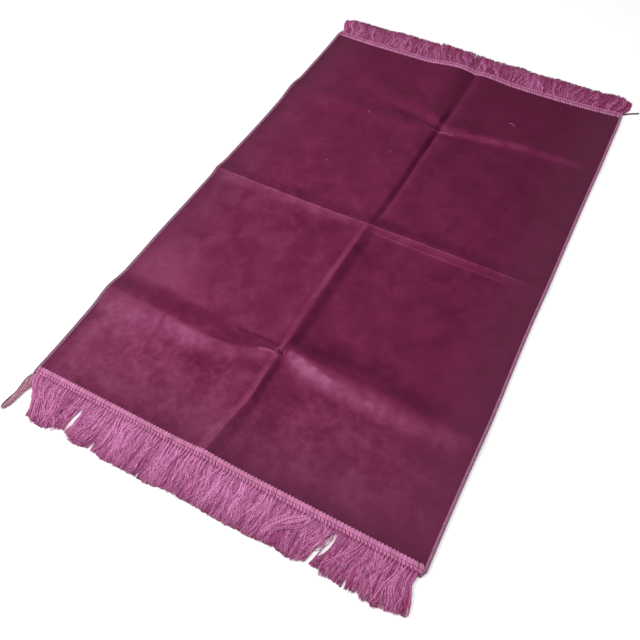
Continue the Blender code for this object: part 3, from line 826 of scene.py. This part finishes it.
def makeVelvet():
    x, y, bent = velvetGrid()
    lift = clothLift(x, y)
    detail, mark = creaseDetail(x, y)
    waves = velvet["undulation"] * layeredNoise(x, y, velvet["waves"])
    top = lift + rug["thickness"] + detail + waves
    top = np.maximum(top, lift + velvet["thinnest"])
    tone, worn = napToneWithPaintedLight(x, y, bent, top)
    step = velvet["underStep"]
    over = np.stack([x, y, top], axis=-1)
    under = np.stack([x, y, lift], axis=-1)[::step, ::step]
    topIndex = numbered(over.shape[:2])
    lowIndex = numbered(under.shape[:2], topIndex.size)

    def quads(index):
        corners = [index[:-1, :-1], index[:-1, 1:], index[1:, 1:], index[1:, :-1]]
        return np.stack(corners, -1).reshape(-1, 4)

    def rim(index):
        # the border, anticlockwise from the near left corner and back to it
        sides = [index[0, :-1], index[:-1, -1], index[-1, :0:-1], index[:0:-1, 0]]
        return np.append(np.concatenate(sides), index[0, 0])

    upper, lower = rim(topIndex), rim(lowIndex)
    wall = [lower[:-1], lower[1:], upper[step::step]]
    wall = np.stack(wall + [upper[k:-1:step] for k in range(step - 1, -1, -1)], axis=1)
    faces = unmapped(quads(topIndex), quads(lowIndex)[:, ::-1], wall)

    def both(values):
        return np.append(values.ravel(), np.full(lowIndex.size, velvet["underTone"]))

    marks = {"worn": both(worn)}
    at, *strengths = np.array(napWithPaintedLight["mottle"]).T
    loss = napWithPaintedLight["mottleLoss"] * ease(x / (rug["halfWidth"] + velvet["tuck"][0]))
    for name, strength in zip(("mottle", "flecks"), strengths):
        marks[name] = both(through(at, strength, y) * (1 - loss))
    points = np.concatenate([over.reshape(-1, 3), under.reshape(-1, 3)])
    shape = (points, faces, both(tone + mark))
    piece = meshPiece("velvet", [shape], "velvet", "velvet_panel", marks)
    piece.data.set_sharp_from_angle(angle=math.radians(velvet["sharpFrom"]))
    return piece


velvetPiece = makeVelvet()

lint = {
    # bits of pale thread that have settled on the velvet
    "radius": 0.00035,
    "shade": 1.0,
    "threads": [
        # x and y of its middle, length, direction in degrees, bend
        (0.147, 0.408, 0.015, -22, 0.0016), (-0.148, 0.301, 0.007, -40, 0.0006),
        (-0.051, 0.205, 0.005, 70, 0.0006), (-0.16, 0.122, 0.006, -55, 0.0008),
    ],
    "height": 0.0004,  # over the velvet
    "rings": 9,
    "sides": 5,
}


def makeLint():
    # each thread is an arc: its middle is off its chord by the bend
    going = np.linspace(-1, 1, lint["rings"])
    paths = []
    for x, y, length, degrees, bend in lint["threads"]:
        turn = math.radians(degrees)
        along, across = going * length / 2, bend * (1 - going**2)
        xs = x + along * math.cos(turn) - across * math.sin(turn)
        ys = y + along * math.sin(turn) + across * math.cos(turn)
        top = clothLift(xs, ys) + rug["thickness"] + velvet["undulation"] + lint["height"]
        paths.append(np.column_stack([xs, ys, top]))
    threads = tubes(paths, lint["radius"], lint["sides"], lint["shade"])
    return meshPiece("lint", [threads], "heading yarn")


lintPiece = makeLint()

overlock = {
    # where it has two values, they are the left edge's (-1) and the right edge's (1)
    "pitch": 0.0029,  # from one stitch to the next
    "threadsPerStitch": 2,
    "threadWidth": 0.0015,
    "slant": 0.003,
    "width": 0.0075,
    "endGap": 0.0012,  # from an end to its first or last stitch
    "section": [
        # mm: out from the cloth's edge, up, from the needle line round to the underside
        (0.6, 3), (1.2, 4), (2.6, 4.5), (4.3, 4.3), (5.8, 3.5), (6.6, 2.3), (6, 1.1), (4.6, 0.8),
    ],
    "core": [
        # mm: the same of the bar that the stitches go round
        (0.5, 0.4), (5.6, 0.4), (6.2, 2), (5.2, 3.4), (2.6, 3.8), (1, 3.4),
    ],
    "chains": [
        # out, up, width of the thread, tone: the needle line, and the chain on the edge
        (0.0014, 0.0047, 0.0007, 0.1), (0.0069, 0.0024, 0.0011, -0.6),
    ],
    "chainWave": (0.0003, 0.0002),
    "tone": {-1: 0.36, 1: 0.42},
    "fall": {-1: -0.7, 1: 0.1},  # how the tone changes from the needle line to the outer edge; on the left it is painted shade on the unlit outer side
    "fallFrom": (0.003, 0.003),  # from how far out, and over what width
    "endFall": -0.22,  # and over the ends of the headings
    "endFallFrom": (0.002, 0.012),  # the same beyond the cloth's end
    "coreTone": 0.1,
    "coreStep": 8,  # it has one ring for so many of a chain
    "sides": (4, 5),  # of a stitch and of a chain
    "start": {-1: 0.0, 1: 0.0022},
    "height": {-1: 0.84, 1: 1.0},
    "taperLength": 0.011,
    "taper": {-1: (0.18, 0.62), 1: (0.62, 0.62)},  # of the width, at the near and far end
    "uneven": (0.00012, 0.0001, 0.09),  # along, up, tone
}


def bindingPlace(side, out, y, up):
    # a point of one long edge: out from the cloth's edge, and up from its underside. It is
    # drawn in at the corners, where it is sewn round the heading's end
    lift = clothLift(side * rug["halfWidth"], y)
    length, start = overlock["taperLength"], overlock["start"][side]
    share = np.where(y < 0, *overlock["taper"][side])
    past = np.abs(y) - rug["halfLength"] - rug["headingDepth"] + length
    out = (start + out * (1 - start / overlock["width"])) * (1 - share * ease(past / length))
    x = side * (rug["halfWidth"] + out) + edgeShift(side, y)
    return np.stack(np.broadcast_arrays(x, y, lift + up * overlock["height"][side]), axis=-1)


def makeBinding(name, node, side):
    dice = np.random.default_rng(40 + side)
    pitch, slant, threads = (overlock[key] for key in ("pitch", "slant", "threadsPerStitch"))
    past = rug["seamGap"] + rug["headingDepth"]
    low = -rug["halfLength"] - past
    high = rug["halfLength"] + farEndBow[0 if side < 0 else -1][1] / 1000 + past
    count = int((high - low) / pitch)
    starts = np.linspace(low + overlock["endGap"], high - slant - overlock["endGap"], count)
    out, up = metres(overlock["section"])
    going = np.linspace(0, 1, len(out))
    alongUneven, upUneven, toneUneven = overlock["uneven"]
    sides, chainSides = overlock["sides"]
    shapes = []
    for thread in range(threads):
        y = starts[:, None] + pitch * thread / threads
        y = y + slant * (going - 0.25) + dice.normal(0, alongUneven, (count, 1))
        rise = up + dice.normal(0, upUneven, (count, 1)) * np.sin(np.pi * going)
        paths = bindingPlace(side, out, y, rise)
        shade = overlock["tone"][side] + dice.normal(0, toneUneven, (count, 1))
        shade = shade + overlock["fall"][side] * ease(out, *overlock["fallFrom"])
        overHeading = ease(np.abs(y) - rug["halfLength"], *overlock["endFallFrom"])
        shade = shade + overlock["endFall"] * overHeading
        shapes.append(tubes(paths, overlock["threadWidth"] / 2, sides, shade, across=(0, 1, 0)))
    y = np.linspace(low, high, 2 * count)
    coreOut, coreUp = metres(overlock["core"])
    core = bindingPlace(side, coreOut, y[:: overlock["coreStep"]][:, None], coreUp)
    shapes.append(closedBar(core, overlock["coreTone"], side < 0))
    wave = np.sin(2 * np.pi * (y - low) / pitch)
    outWave, upWave = overlock["chainWave"]
    for out, up, width, tone in overlock["chains"]:
        line = bindingPlace(side, out + outWave * wave, y, up + upWave * wave)
        shapes.append(tubes([line], width / 2, chainSides, overlock["tone"][side] + tone))
    return meshPiece(name, shapes, "overlock yarn", node)


bindings = [
    makeBinding("overlocked_edge_left", "edge_binding_left", -1),
    makeBinding("overlocked_edge_right", "edge_binding_right", 1),
]

heading = {
    # where it has two values, they are the near heading's (-1) and the far one's (1)
    "units": 119,  # stitches across the rug
    "loopWidth": 0.0015,
    "loopSlant": -0.0022,
    "loopThreads": [
        # four threads side by side in each loop of the thick row: how much less each reaches
        # in, and how much lower it lies
        (0.0007, 0.0002), (0.0, 0.0), (0.0004, 0.0002), (0.0016, 0.0006),
    ],
    "loop": [
        # mm: out from the cloth's end, up
        (-0.8, 3.4), (-0.2, 4.5), (1.6, 5.3), (3.8, 5.5), (5.8, 5.1), (7.3, 4.1), (7.9, 2.6),
    ],
    "beadWidth": 0.00145,
    "beadThreads": [-0.0013, 0.0, 0.0013],
    "bead": [
        # mm: sideways, out, up: the stitch on top of the second row
        (-1.8, 8, 2.6), (-1.3, 8.6, 4), (-0.4, 9.7, 4.7), (0.5, 10.9, 4.5), (1.3, 12, 3.4),
        (1.6, 12.5, 1.8),
    ],
    "underBead": [
        (2.4, 8, 2.4), (1.6, 9, 3.2), (0.1, 10.2, 3.5), (-1.4, 11.4, 3), (-2.2, 12.6, 1.8),
    ],
    # painted shade on the threads under the beads
    "underBeadTone": -0.35,
    "ground": [(0, 0), (17, 0), (17, 0.8), (12, 2), (0, 1.6)],  # mm: out, up of the bar below
    # painted shade: the bar below is dark where it shows between the stitches
    "groundTone": {-1: 0.0, 1: 0.16},
    "groundEnds": (0.0006, 0.0026),  # how far it reaches past the cloth, left and right
    "endReach": (0.0026, 0.002),  # over the left and right binding
    "endClear": 0.0006,  # from the cloth's edge to the outermost stitch, without that reach
    "endEase": 0.01,  # the length over which it comes
    "tone": {-1: 0.8, 1: 0.93},
    "rightTone": {-1: 0.0, 1: -0.12},  # of the first row, right of the lengthwise crease
    "rightFrom": (-0.05, 0.06),  # x where that starts, and over what width it grows
    "outerTone": -0.35,  # painted shade at the outer ends of the loops
    "outerFrom": (0.6, 0.4),  # the same, as shares of a loop
    "beadTone": {-1: -0.12, 1: 0.0},
    "height": {-1: 1.0, 1: 0.7},
    "perDrop": {-1: 200, 1: 1100},  # painted shade: how much darker a thread is for each metre it lies lower
    "scallop": {-1: 1.0, 1: 1.7},
    "scallopReach": 0.6,  # share of a loop
    "widen": {-1: 1.0, 1: 1.08},  # of the first row, as it is pulled flat at the far end
    "groove": {-1: 0.0, 1: 0.42},  # painted shade: how dark the foot of the second row is
    "grooveReach": (-0.25, 0.6),  # on a scale from the first to 1, it is gone at the second
    "shift": {-1: 0.0024, 1: -0.0032},  # further out at the near end, further in at the far one
    "beadShift": {-1: 0.0, 1: 0.0031},  # of the second row alone
    "uneven": (0.00012, 0.07, 0.05),  # places, tone of a stitch, tone of a thread
    "sides": 5,
}
unitPitch = 2 * rug["halfWidth"] / heading["units"]
unitMiddles = -rug["halfWidth"] + unitPitch * (np.arange(heading["units"]) + 0.5)


def trimPlace(end, x, out, up):
    # a point of one end's trim: out from the cloth's end, and up from its underside
    reach, lift = clothEnd(end, x)
    y = end * (reach + rug["seamGap"] + heading["shift"][end] + out)
    return np.stack(np.broadcast_arrays(x, y, lift + up * heading["height"][end]), axis=-1)


def stitchPaths(end, middles, sideways, out, up, dice):
    # one path for each stitch: its sideways, out and up, turned round for the far end
    uneven, shape = heading["uneven"][0], (len(middles), 1)
    x = middles[:, None] - end * sideways + dice.normal(0, uneven, shape)
    limit, width = rug["halfWidth"] - heading["endClear"], heading["endEase"]
    x = np.clip(x, -limit, limit)
    left, right = heading["endReach"]
    x = x + right * ease((x - limit + width) / width) - left * ease((width - limit - x) / width)
    out = out + dice.normal(0, uneven, shape)
    up = up + dice.normal(0, uneven, shape) * np.sin(np.pi * np.linspace(0, 1, len(up)))
    return trimPlace(end, x, out, up)


def makeHeading(name, node, end):
    dice = np.random.default_rng(60 + end)
    unitMark, threadMark = heading["uneven"][1:]
    tone, size, sides = heading["tone"][end], (heading["units"], 1), heading["sides"]
    shapes = []
    loopOut, loopUp = metres(heading["loop"])
    going = np.linspace(0, 1, len(loopOut))
    sideways = heading["loopSlant"] * (0.5 - going)
    unitTone = dice.normal(0, unitMark, size)
    rowTone = heading["rightTone"][end] * ease(unitMiddles[:, None], *heading["rightFrom"])
    rowTone = rowTone + heading["outerTone"] * ease(going, *heading["outerFrom"])
    threads = len(heading["loopThreads"])
    for thread, (scallop, drop) in enumerate(heading["loopThreads"]):
        middles = unitMiddles + unitPitch * ((thread + 0.5) / threads - 0.5)
        out = loopOut * heading["widen"][end]
        inner = 1 - ease(going, 0, heading["scallopReach"])
        out = out + heading["scallop"][end] * scallop * inner
        up = loopUp - drop * np.sin(np.pi * going)
        paths = stitchPaths(end, middles, sideways, out, up, dice)
        shade = tone + unitTone + dice.normal(0, threadMark, size)
        shade = shade + rowTone - heading["perDrop"][end] * drop
        shapes.append(tubes(paths, heading["loopWidth"] / 2, sides, shade, across=(1, 0, 0)))
    beads = [(offset, "bead", heading["beadTone"][end]) for offset in heading["beadThreads"]]
    for offset, table, own in [*beads, (0.0, "underBead", heading["underBeadTone"])]:
        paths = stitchPaths(end, unitMiddles + offset, *metres(heading[table]), dice)
        paths[..., 1] += end * heading["beadShift"][end]
        start, width = heading["grooveReach"]
        foot = 1 - ease(np.linspace(start, 1, paths.shape[1]) / width)
        shade = tone + own + unitTone + dice.normal(0, threadMark, size)
        shade = shade - heading["groove"][end] * foot
        shapes.append(tubes(paths, heading["beadWidth"] / 2, sides, shade, across=(1, 0, 0)))
    left, right = heading["groundEnds"]
    x = np.linspace(-rug["halfWidth"] - left, rug["halfWidth"] + right, heading["units"] + 2)
    ground = trimPlace(end, x[:, None], *metres(heading["ground"]))
    shapes.append(closedBar(ground, heading["groundTone"][end], end > 0, first=1))
    return meshPiece(name, shapes, "heading yarn", node)


headings = [
    makeHeading("heading_near", "fringe_trim_near", -1),
    makeHeading("heading_far", "fringe_trim_far", 1),
]

fringe = {
    "start": 0.0122,  # out from the cloth's end, under the second row of the heading
    "holes": 0.0146,  # where the row of dark holes is
    "spread": 1.1,  # a bundle's width where it is free, of the stitch pitch
    "spreadReach": 0.01,
    "floorAt": 0.62,  # share of its length where a yarn reaches the floor
    "yarnRadius": 0.00048,
    "thickness": (0.82, 1.18),  # of the radius, thinnest and thickest
    "thinFrom": (0.75, 0.25),  # where and over what share of its length a yarn gets thinner
    "thinBy": 0.4,
    # painted glints: streaks of lighter and darker yarn
    "glints": 0.1,
    "sides": 3,
    "swirlSize": (0.009, 0.024),
    "cut": (0.001, 0.0008),  # how far the longest yarns stand out, and how uneven the cut is
    "raggedSize": (0.025, 0.008),
    "swingShare": 0.95,  # of the free length, over which a yarn comes to its full lean
    "letGo": (0.7, 0.55, 0.45),  # how much of the gathering goes, from where and over what share
    "yarnLean": 0.0017,
    "edgeReach": 0.03,  # near the corners the yarns lean more alike
    "strayShare": 0.15,
    "strayLean": 0.01,
    "combSize": 0.018,  # how far apart the tufts are that lean and bow another way
    "crinkle": ((0.00015, 0.00075), (0.011, 0.017)),  # how far, and how long one is
    "gapShape": (0.7, 0.006),  # how blunt a gap's ends are, and how far yarns beside it move
    "crown": 0.002,  # how much higher a drawn lock's middle lies than its sides
    "tipSink": 0.45,  # how much lower a yarn lies at its tip, of its free height
    "knee": (0.35, 0.024, 0.008),  # the bend by the heading: height, how far out, reach
    "strayHeight": 0.0009,
    "clearance": 0.0002,
    "holeReach": 0.003,  # of the shade at the row of holes
    "tipFrom": (0.35, 0.65),  # where and over what share of its length the tip's shade comes
    "duskReach": (0.05, 0.25),
    "cornerRoot": -0.3432,  # near yarns from further left are in the corner's bundle
}
fringeLayers = {
    # for each of the three layers, from the lowest up
    "root": (0.0015, 0.0022, 0.003),  # height by the heading
    "free": (0.0008, 0.0018, 0.003),  # height further out
    "gather": (0.0, 0.22, 0.28),  # how far a lock is drawn together
    "lean": (0.0003, 0.004, 0.0066),  # how much locks differ in lean, in bow and in length
    "bow": (0.0003, 0.0022, 0.0034),
    "length": (0.0005, 0.0014, 0.0018),
    "swirl": (0.0006, 0.0034, 0.0064),
    # the lowest is darker: painted shade under the upper layers
    "tone": (-0.22, 0.0, 0.06),
    "scallop": (0.0, 0.0016, 0.0026),  # how rounded a lock's end is
    "squeeze": (1.0, 0.46, 0.46),  # a bundle's width at the holes
    "even": (0.9, 0.3, 0.3),  # how evenly a bundle's yarns are spaced
    "loose": (0.3, 1.0, 1.0),  # how much each yarn goes its own way
    "thick": (1.5, 1.0, 1.0),
    "comb": (0.0, 0.004, 0.012),  # how far the tufts lean and bow another way
}
fringeEnds = {
    "near": {
        "end": -1,
        "seed": 7,
        "yarnsPerStitch": 10,
        "rings": 17,
        "tone": 0.57,
        "tipShade": 0.2,
        "lockWidths": (0.0026, 0.007),
        "lockTone": 0.08,
        "yarnTone": 0.1,
        "tipContrast": 1.2,  # how much more the locks and yarns differ at their tips
        "ragged": (0.0012, 0.001),  # how much the length changes over 25 mm and over 8 mm
        "dusk": 0.12,  # painted shade: how much darker it gets to the right
        "rootShade": 0.52,
        "lie": [
            # mm: root x, sideways lean of the tip, length
            (-344, 34, 63), (-332, 32, 64), (-300, 16, 69), (-270, 4, 68), (-245, -4, 58),
            (-236, -5, 55), (-231, 4, 59), (-205, 1, 67), (-182, -3, 63), (-176, 3, 65),
            (-150, 2, 67), (-92, -2, 66), (-86, 0, 67), (-60, 0, 66), (-30, 1, 61), (0, 0, 62),
            (50, -2, 63), (110, -4, 62), (130, -6, 59), (155, -12, 59), (190, -22, 62),
            (204, -26, 60), (212, -16, 55), (235, -14, 56), (262, -4, 63), (284, -2, 59),
            (303, 0, 65), (322, 1, 59), (344, 3, 58),
        ],
        "gaps": [
            # mm: x where it starts and ends, how far out it starts and ends, half its width
            (-232.5, -235, 31, 76, 4.2), (-180, -180, 67, 95, 2.2), (-89, -89, 70, 92, 1.3),
            (217, 206, 18, 62, 7.4), (209, 193, 40, 88, 3.6), (257.5, 257.5, 66, 90, 1.8),
        ],
        "drifts": [
            # as a soft spot: x, how far out, reach in x and outwards, sideways shift
            (0.344, 0.036, 0.02, 0.018, -0.005),
        ],
        "toneSpots": [
            # the same with a tone
            (-0.15, 0.04, 0.06, 0.06, 0.03), (0.15, 0.06, 0.022, 0.022, -0.1),
            (-0.29, 0.03, 0.045, 0.025, -0.1), (0.07, 0.03, 0.06, 0.04, 0.06),
            (0.26, 0.034, 0.05, 0.022, -0.07),
        ],
    },
    "far": {
        "end": 1,
        "seed": 9,
        "yarnsPerStitch": 8,
        "rings": 11,
        # lower than at the near end: painted shade for the far end
        "tone": 0.24,
        "tipShade": 0.19,
        "lockWidths": (0.0022, 0.0056),
        "lockTone": 0.18,
        "yarnTone": 0.13,
        "tipContrast": 0.1,
        "ragged": (0.0022, 0.0024),
        "dusk": 0.12,
        "rootShade": 0.06,
        "lie": [
            (-344, -17, 46), (-320, -16, 55), (-290, -15, 61), (-264, -14, 58), (-246, -13, 57),
            (-226, -13, 63), (-208, -13, 59), (-186, -12, 62), (-168, -12, 66), (-150, -12, 61),
            (-128, -12, 60), (-108, -13, 62), (-88, -13, 61), (-68, -13, 66), (-47, -14, 63),
            (-25, -15, 61), (-10, -14, 64), (0, 2, 61), (9, -6, 60), (24, -17, 57), (50, -17, 54),
            (73, -14, 56), (91, -11, 58), (100, -10, 62), (109, -9, 64), (128, -8, 61),
            (146, -6, 57), (165, -4, 57), (200, -1, 60), (218, 1, 57), (250, 4, 57), (290, 9, 57),
            (305, 11, 58), (330, 14, 50), (344, 16, 43),
        ],
        "gaps": [],
        "drifts": [
            (0.344, 0.03, 0.024, 0.022, 0.0115), (-0.344, 0.04, 0.014, 0.02, -0.002),
        ],
        "toneSpots": [
            (-0.344, 0.045, 0.012, 0.05, 0.2), (0.08, 0.05, 0.05, 0.05, -0.08),
            (0.155, 0.024, 0.03, 0.02, 0.11), (-0.06, 0.045, 0.06, 0.06, -0.04),
            (-0.0085, 0.042, 0.006, 0.012, -0.26), (0.0165, 0.04, 0.01, 0.022, 0.2),
            (-0.016, 0.046, 0.003, 0.012, 0.16),
        ],
    },
}
bundles = {
    # name: its finish, number of yarns, turns, tone, and in mm stations of x, y, height of its
    # underside, half width and half height
    "corner": ("corner yarn", 56, 0.55, 0.5, [
        (-343, -552, 0.4, 5, 1), (-341.4, -564, 0.2, 9, 1.5), (-341.4, -577, 0.2, 8.8, 1.9),
        (-343, -590, 0.2, 6.4, 1.9), (-343.8, -599, 0.2, 5, 1.8), (-344.6, -611, 0.2, 4.8, 1.6),
        (-346.2, -623, 0.2, 4.4, 1.4), (-349, -632.5, 0.2, 2.8, 1.1),
    ]),
    "outer curl": ("fringe yarn", 42, 0.25, 0.42, [
        (172, -561, 2.2, 3, 0.8), (164, -569, 3.3, 5, 1), (153, -576.5, 3.4, 6, 1),
        (141, -586, 2.9, 6, 1), (129.6, -597.5, 2.1, 5.6, 1), (122, -609, 1.2, 5, 0.9),
        (118, -619, 0.6, 3.2, 0.6),
    ]),
    "inner curl": ("fringe yarn", 28, -0.3, 0.16, [
        (175, -570, 2.2, 2.8, 0.8), (166, -580, 3.2, 3.6, 1), (156, -586, 3.6, 4, 1),
        (144, -592, 3.4, 4, 1), (135, -601, 2.4, 4, 0.9), (133, -612, 1.2, 3.6, 0.8),
        (136, -622, 0.6, 2.6, 0.6),
    ]),
    "red lock": ("fringe yarn", 26, 0.4, 0.2, [
        (160, -568, 2.4, 2.4, 0.8), (164, -580, 3.4, 3, 1), (165, -592, 3.6, 3.4, 1),
        (164.2, -605, 2.8, 3.6, 1), (165.6, -616, 1.4, 3.4, 0.9), (169, -625, 0.6, 2.4, 0.6),
    ]),
    "gap strands": ("fringe yarn", 7, 0.2, 0.46, [
        (214, -564, 2.2, 2, 0.4), (212, -576, 1.6, 4, 0.6), (204, -590, 1, 4.4, 0.6),
        (193, -601, 0.6, 4, 0.6), (185, -615, 0.4, 3, 0.4),
    ]),
}
bundleYarns = {
    "rings": 17,
    "wander": (0.0005, (9, 22)),  # how far a yarn wanders, and its least and most waves
    "cut": 0.05,  # how much longer or shorter one is, of its length
    "tones": (0.4, 0.2, -0.15),  # from the middle of the bundle up, painted light on its top; of each yarn; at the tips
    "floorAt": 0.5,
}


def locksOf(root, lockWidths, dice):
    # cut the fringe into locks of uneven width, and give each yarn its lock, the lock's middle
    # and where in the lock it is, from -1 to 1
    widths = dice.uniform(*lockWidths, 300)
    edges = np.cumsum(widths) - rug["halfWidth"] - 0.02
    lock = np.searchsorted(edges, root)
    centre = edges[lock] - widths[lock] / 2
    return lock, centre, (root - centre) / (widths[lock] / 2)


def openGap(x, out, gap):
    # push yarns off a lens-shaped gap, all of a yarn to the side that its middle is on, and
    # the less the further it is away
    x0, x1, out0, out1, half = metres(gap)
    line = x0 + (x1 - x0) * (out - out0) / (out1 - out0)
    blunt, reach = fringe["gapShape"]
    width = half * np.sin(np.pi * np.clip((out - out0) / (out1 - out0), 0, 1)) ** blunt
    nearest = np.abs(out - (out0 + out1) / 2).argmin(axis=1)[:, None]
    side = np.where(np.take_along_axis(x - line, nearest, axis=1) < 0, -1, 1)
    away = side * (x - line)
    push = width * np.exp(-np.maximum(away, 0) / reach) + np.maximum(-away, 0) * (width > 1e-6)
    return x + side * push


def thinning(going):
    return 1 - fringe["thinBy"] * ease(going, *fringe["thinFrom"])


def layerYarns(settings, layer, dice):
    # the yarns of one layer of a fringe. Out of the heading a yarn keeps to its stitch's
    # bundle; then it spreads, leans, is drawn to its lock's middle, bows, swirls and crinkles
    end, seed, perStitch = (settings[key] for key in ("end", "seed", "yarnsPerStitch"))
    count = heading["units"] * perStitch
    each = (count, 1)
    stitch = np.repeat(unitMiddles, perStitch)
    spaced = np.tile((np.arange(perStitch) + 0.5) / perStitch - 0.5, heading["units"])
    offset = layer["even"] * spaced + (1 - layer["even"]) * dice.uniform(-0.5, 0.5, count)
    offset = offset * unitPitch
    root = stitch + offset * fringe["spread"]
    lock, centre, inLock = locksOf(root, settings["lockWidths"], dice)
    leanKind, lengthKind, bowKind, toneKind = dice.normal(0, 1, (300, 4))[lock].T

    def acrossNoise(size, more, row=0.0):
        return softNoise(root, 0 * root + row, size, seed + more)

    at, *lines = metres(settings["lie"])
    lean, length = (np.interp(root, at, line) for line in lines)
    isStray = dice.uniform(0, 1, count) < fringe["strayShare"]
    own = dice.normal(0, fringe["yarnLean"], count)
    own = own + isStray * dice.normal(0, fringe["strayLean"], count)
    row = 30 * layer["free"]  # so that each layer has tufts of its own
    combLean, combBow = (layer["comb"] * acrossNoise(fringe["combSize"], k, row) for k in (4, 5))
    inwards = ease(rug["halfWidth"] - np.abs(root), 0, fringe["edgeReach"])
    lean = lean + (layer["lean"] * leanKind + layer["loose"] * own + combLean) * inwards
    wide, narrow = settings["ragged"]
    length = length + layer["length"] * lengthKind - layer["scallop"] * inLock**2
    longest, uneven = fringe["cut"]
    length = length + longest - dice.exponential(uneven, count)
    wideSize, narrowSize = fringe["raggedSize"]
    length = length + wide * acrossNoise(wideSize, 2) + narrow * acrossNoise(narrowSize, 3)

    going = np.linspace(0, 1, settings["rings"])
    total = (rug["headingDepth"] - fringe["start"] + length)[:, None]
    out = fringe["start"] + total * going
    freed = ease(out, fringe["holes"], fringe["spreadReach"])
    swing = np.clip((out - fringe["holes"]) / (total * fringe["swingShare"]), 0, 1)
    width = layer["squeeze"] + (fringe["spread"] - layer["squeeze"]) * freed
    x = stitch[:, None] + offset[:, None] * width + lean[:, None] * ease(swing)
    lost, *where = fringe["letGo"]
    drawn = ease(swing * 2) * (1 - lost * ease(swing, *where))
    x = x + ((centre - root) * layer["gather"])[:, None] * drawn
    bow = layer["bow"] * bowKind + 0.5 * combBow * inwards
    x = x + bow[:, None] * np.sin(np.pi * swing)
    across, outwards = fringe["swirlSize"]
    wideRoot = np.repeat(root[:, None], len(going), 1)
    swirl = softNoise(wideRoot * (outwards / across), out, outwards, seed)
    x = x + layer["swirl"] * swirl * ease(swing * 1.6)
    depths, lengths = fringe["crinkle"]
    crinkle = dice.uniform(*depths, each) * ease(swing * 4)
    turns = 2 * np.pi * out / dice.uniform(*lengths, each) + dice.uniform(0, 6.3, each)
    x = x + crinkle * np.sin(turns)
    for gap in settings["gaps"]:
        x = openGap(x, out, gap)
    for place in settings["drifts"]:
        x = x + spot(x, out, place)

    reach, lift = clothEnd(end, root)
    crown = fringe["crown"] * (1 - inLock**2)[:, None] * layer["gather"]
    free = layer["free"] * (1 - fringe["tipSink"] * going) + crown
    high, at, width = fringe["knee"]
    up = layer["root"] * (1 - freed) + free * freed
    up = up + high * layer["root"] * np.exp(-(((out - at) / width) ** 2))
    up = up + isStray[:, None] * fringe["strayHeight"] * freed + 0.7 * crinkle * np.cos(turns)
    z = lift[:, None] * (1 - ease(going, 0, fringe["floorAt"])) + up
    z = np.maximum(z, fringe["yarnRadius"] + fringe["clearance"])
    y = end * (reach[:, None] + rug["seamGap"] + out)
    # shade: the yarns' own tones, painted shade on the lowest layer, at the holes and to the right,
    # darker tips, painted glints and listed spots
    own = settings["lockTone"] * toneKind + settings["yarnTone"] * dice.normal(0, 1, count)
    shade = settings["tone"] + layer["tone"] + own[:, None] * (1 + settings["tipContrast"] * going)
    shade = shade - settings["rootShade"] * (1 - ease(out, fringe["holes"], fringe["holeReach"]))
    shade = shade - settings["tipShade"] * ease(going, *fringe["tipFrom"])
    shade = shade + fringe["glints"] * softNoise(wideRoot * 3, out, 0.01, seed + 1)
    shade = shade - settings["dusk"] * ease(root[:, None], *fringe["duskReach"])
    shade = shade + sum(spot(x, out, place) for place in settings["toneSpots"])
    radii = fringe["yarnRadius"] * layer["thick"] * dice.uniform(*fringe["thickness"], each)
    return np.stack([x, y, z], axis=-1), shade, root, radii * thinning(going)


def makeBundle(name, settings, dice):
    # yarns that keep their place in a flat round bundle, which turns a little as it goes along:
    # from its middle line out by the half width times cos, and up by the half height times sin
    finish, count, turns, tone, stations = settings
    each = (count, 1)
    going = np.linspace(0, 1, bundleYarns["rings"])
    x, y, under, halfWidth, halfHeight = sampled(stations, len(going)).T
    side = unit(np.gradient(np.column_stack([x, y]), axis=0)) @ np.array([[0, -1], [1, 0]])
    away = np.sqrt(dice.uniform(0, 1, each))
    turn = dice.uniform(0, 2 * np.pi, each) + 2 * np.pi * turns * going
    far, waves = bundleYarns["wander"]
    wander = far * np.sin(dice.uniform(*waves, each) * going + dice.uniform(0, 6.3, each))
    across = halfWidth * away * np.cos(turn) + wander * ease(going * 4)
    ends = 1 + dice.uniform(-bundleYarns["cut"], bundleYarns["cut"], each) * going
    root = y[0]
    x = x + across * side[:, 0]
    y = (y + across * side[:, 1] - root) * ends + root
    z = fringe["yarnRadius"] + under + halfHeight * (1 + away * np.sin(turn))
    z = z + clothEnd(-1, x)[1] * (1 - ease(going, 0, bundleYarns["floorAt"]))
    upper, own, tip = bundleYarns["tones"]
    # painted light: the yarns on top of the bundle are lighter
    shade = tone + upper * away * np.sin(turn) + dice.normal(0, own, each) + tip * going
    radii = fringe["yarnRadius"] * thinning(going)
    yarns = tubes(np.stack([x, y, z], axis=-1), radii, fringe["sides"], shade)
    name = "fringe_near_" + name.replace(" ", "_")
    return meshPiece(name, [yarns], finish, "fringe_trim_near")


def makeFringe(name, node, settings):
    dice = np.random.default_rng(settings["seed"])
    layers = [dict(zip(fringeLayers, values)) for values in zip(*fringeLayers.values())]
    layers = [layerYarns(settings, layer, dice) for layer in layers]
    paths, shade, root, radii = (np.concatenate(values) for values in zip(*layers))
    twist = dice.uniform(0, 6.3, (len(root), 1))
    keep = root > (fringe["cornerRoot"] if settings["end"] < 0 else -1)
    pieces = []
    for half, own in (("left", keep & (root < 0)), ("right", keep & (root >= 0))):
        yarns = tubes(paths[own], radii[own], fringe["sides"], shade[own], twist[own])
        pieces.append(meshPiece(f"{name}_{half}", [yarns], "fringe yarn", node))
    return pieces


fringes = makeFringe("fringe_near", "fringe_trim_near", fringeEnds["near"])
fringes += makeFringe("fringe_far", "fringe_trim_far", fringeEnds["far"])
bundleDice = np.random.default_rng(23)
fringes += [makeBundle(name, settings, bundleDice) for name, settings in bundles.items()]
print("fringes made")
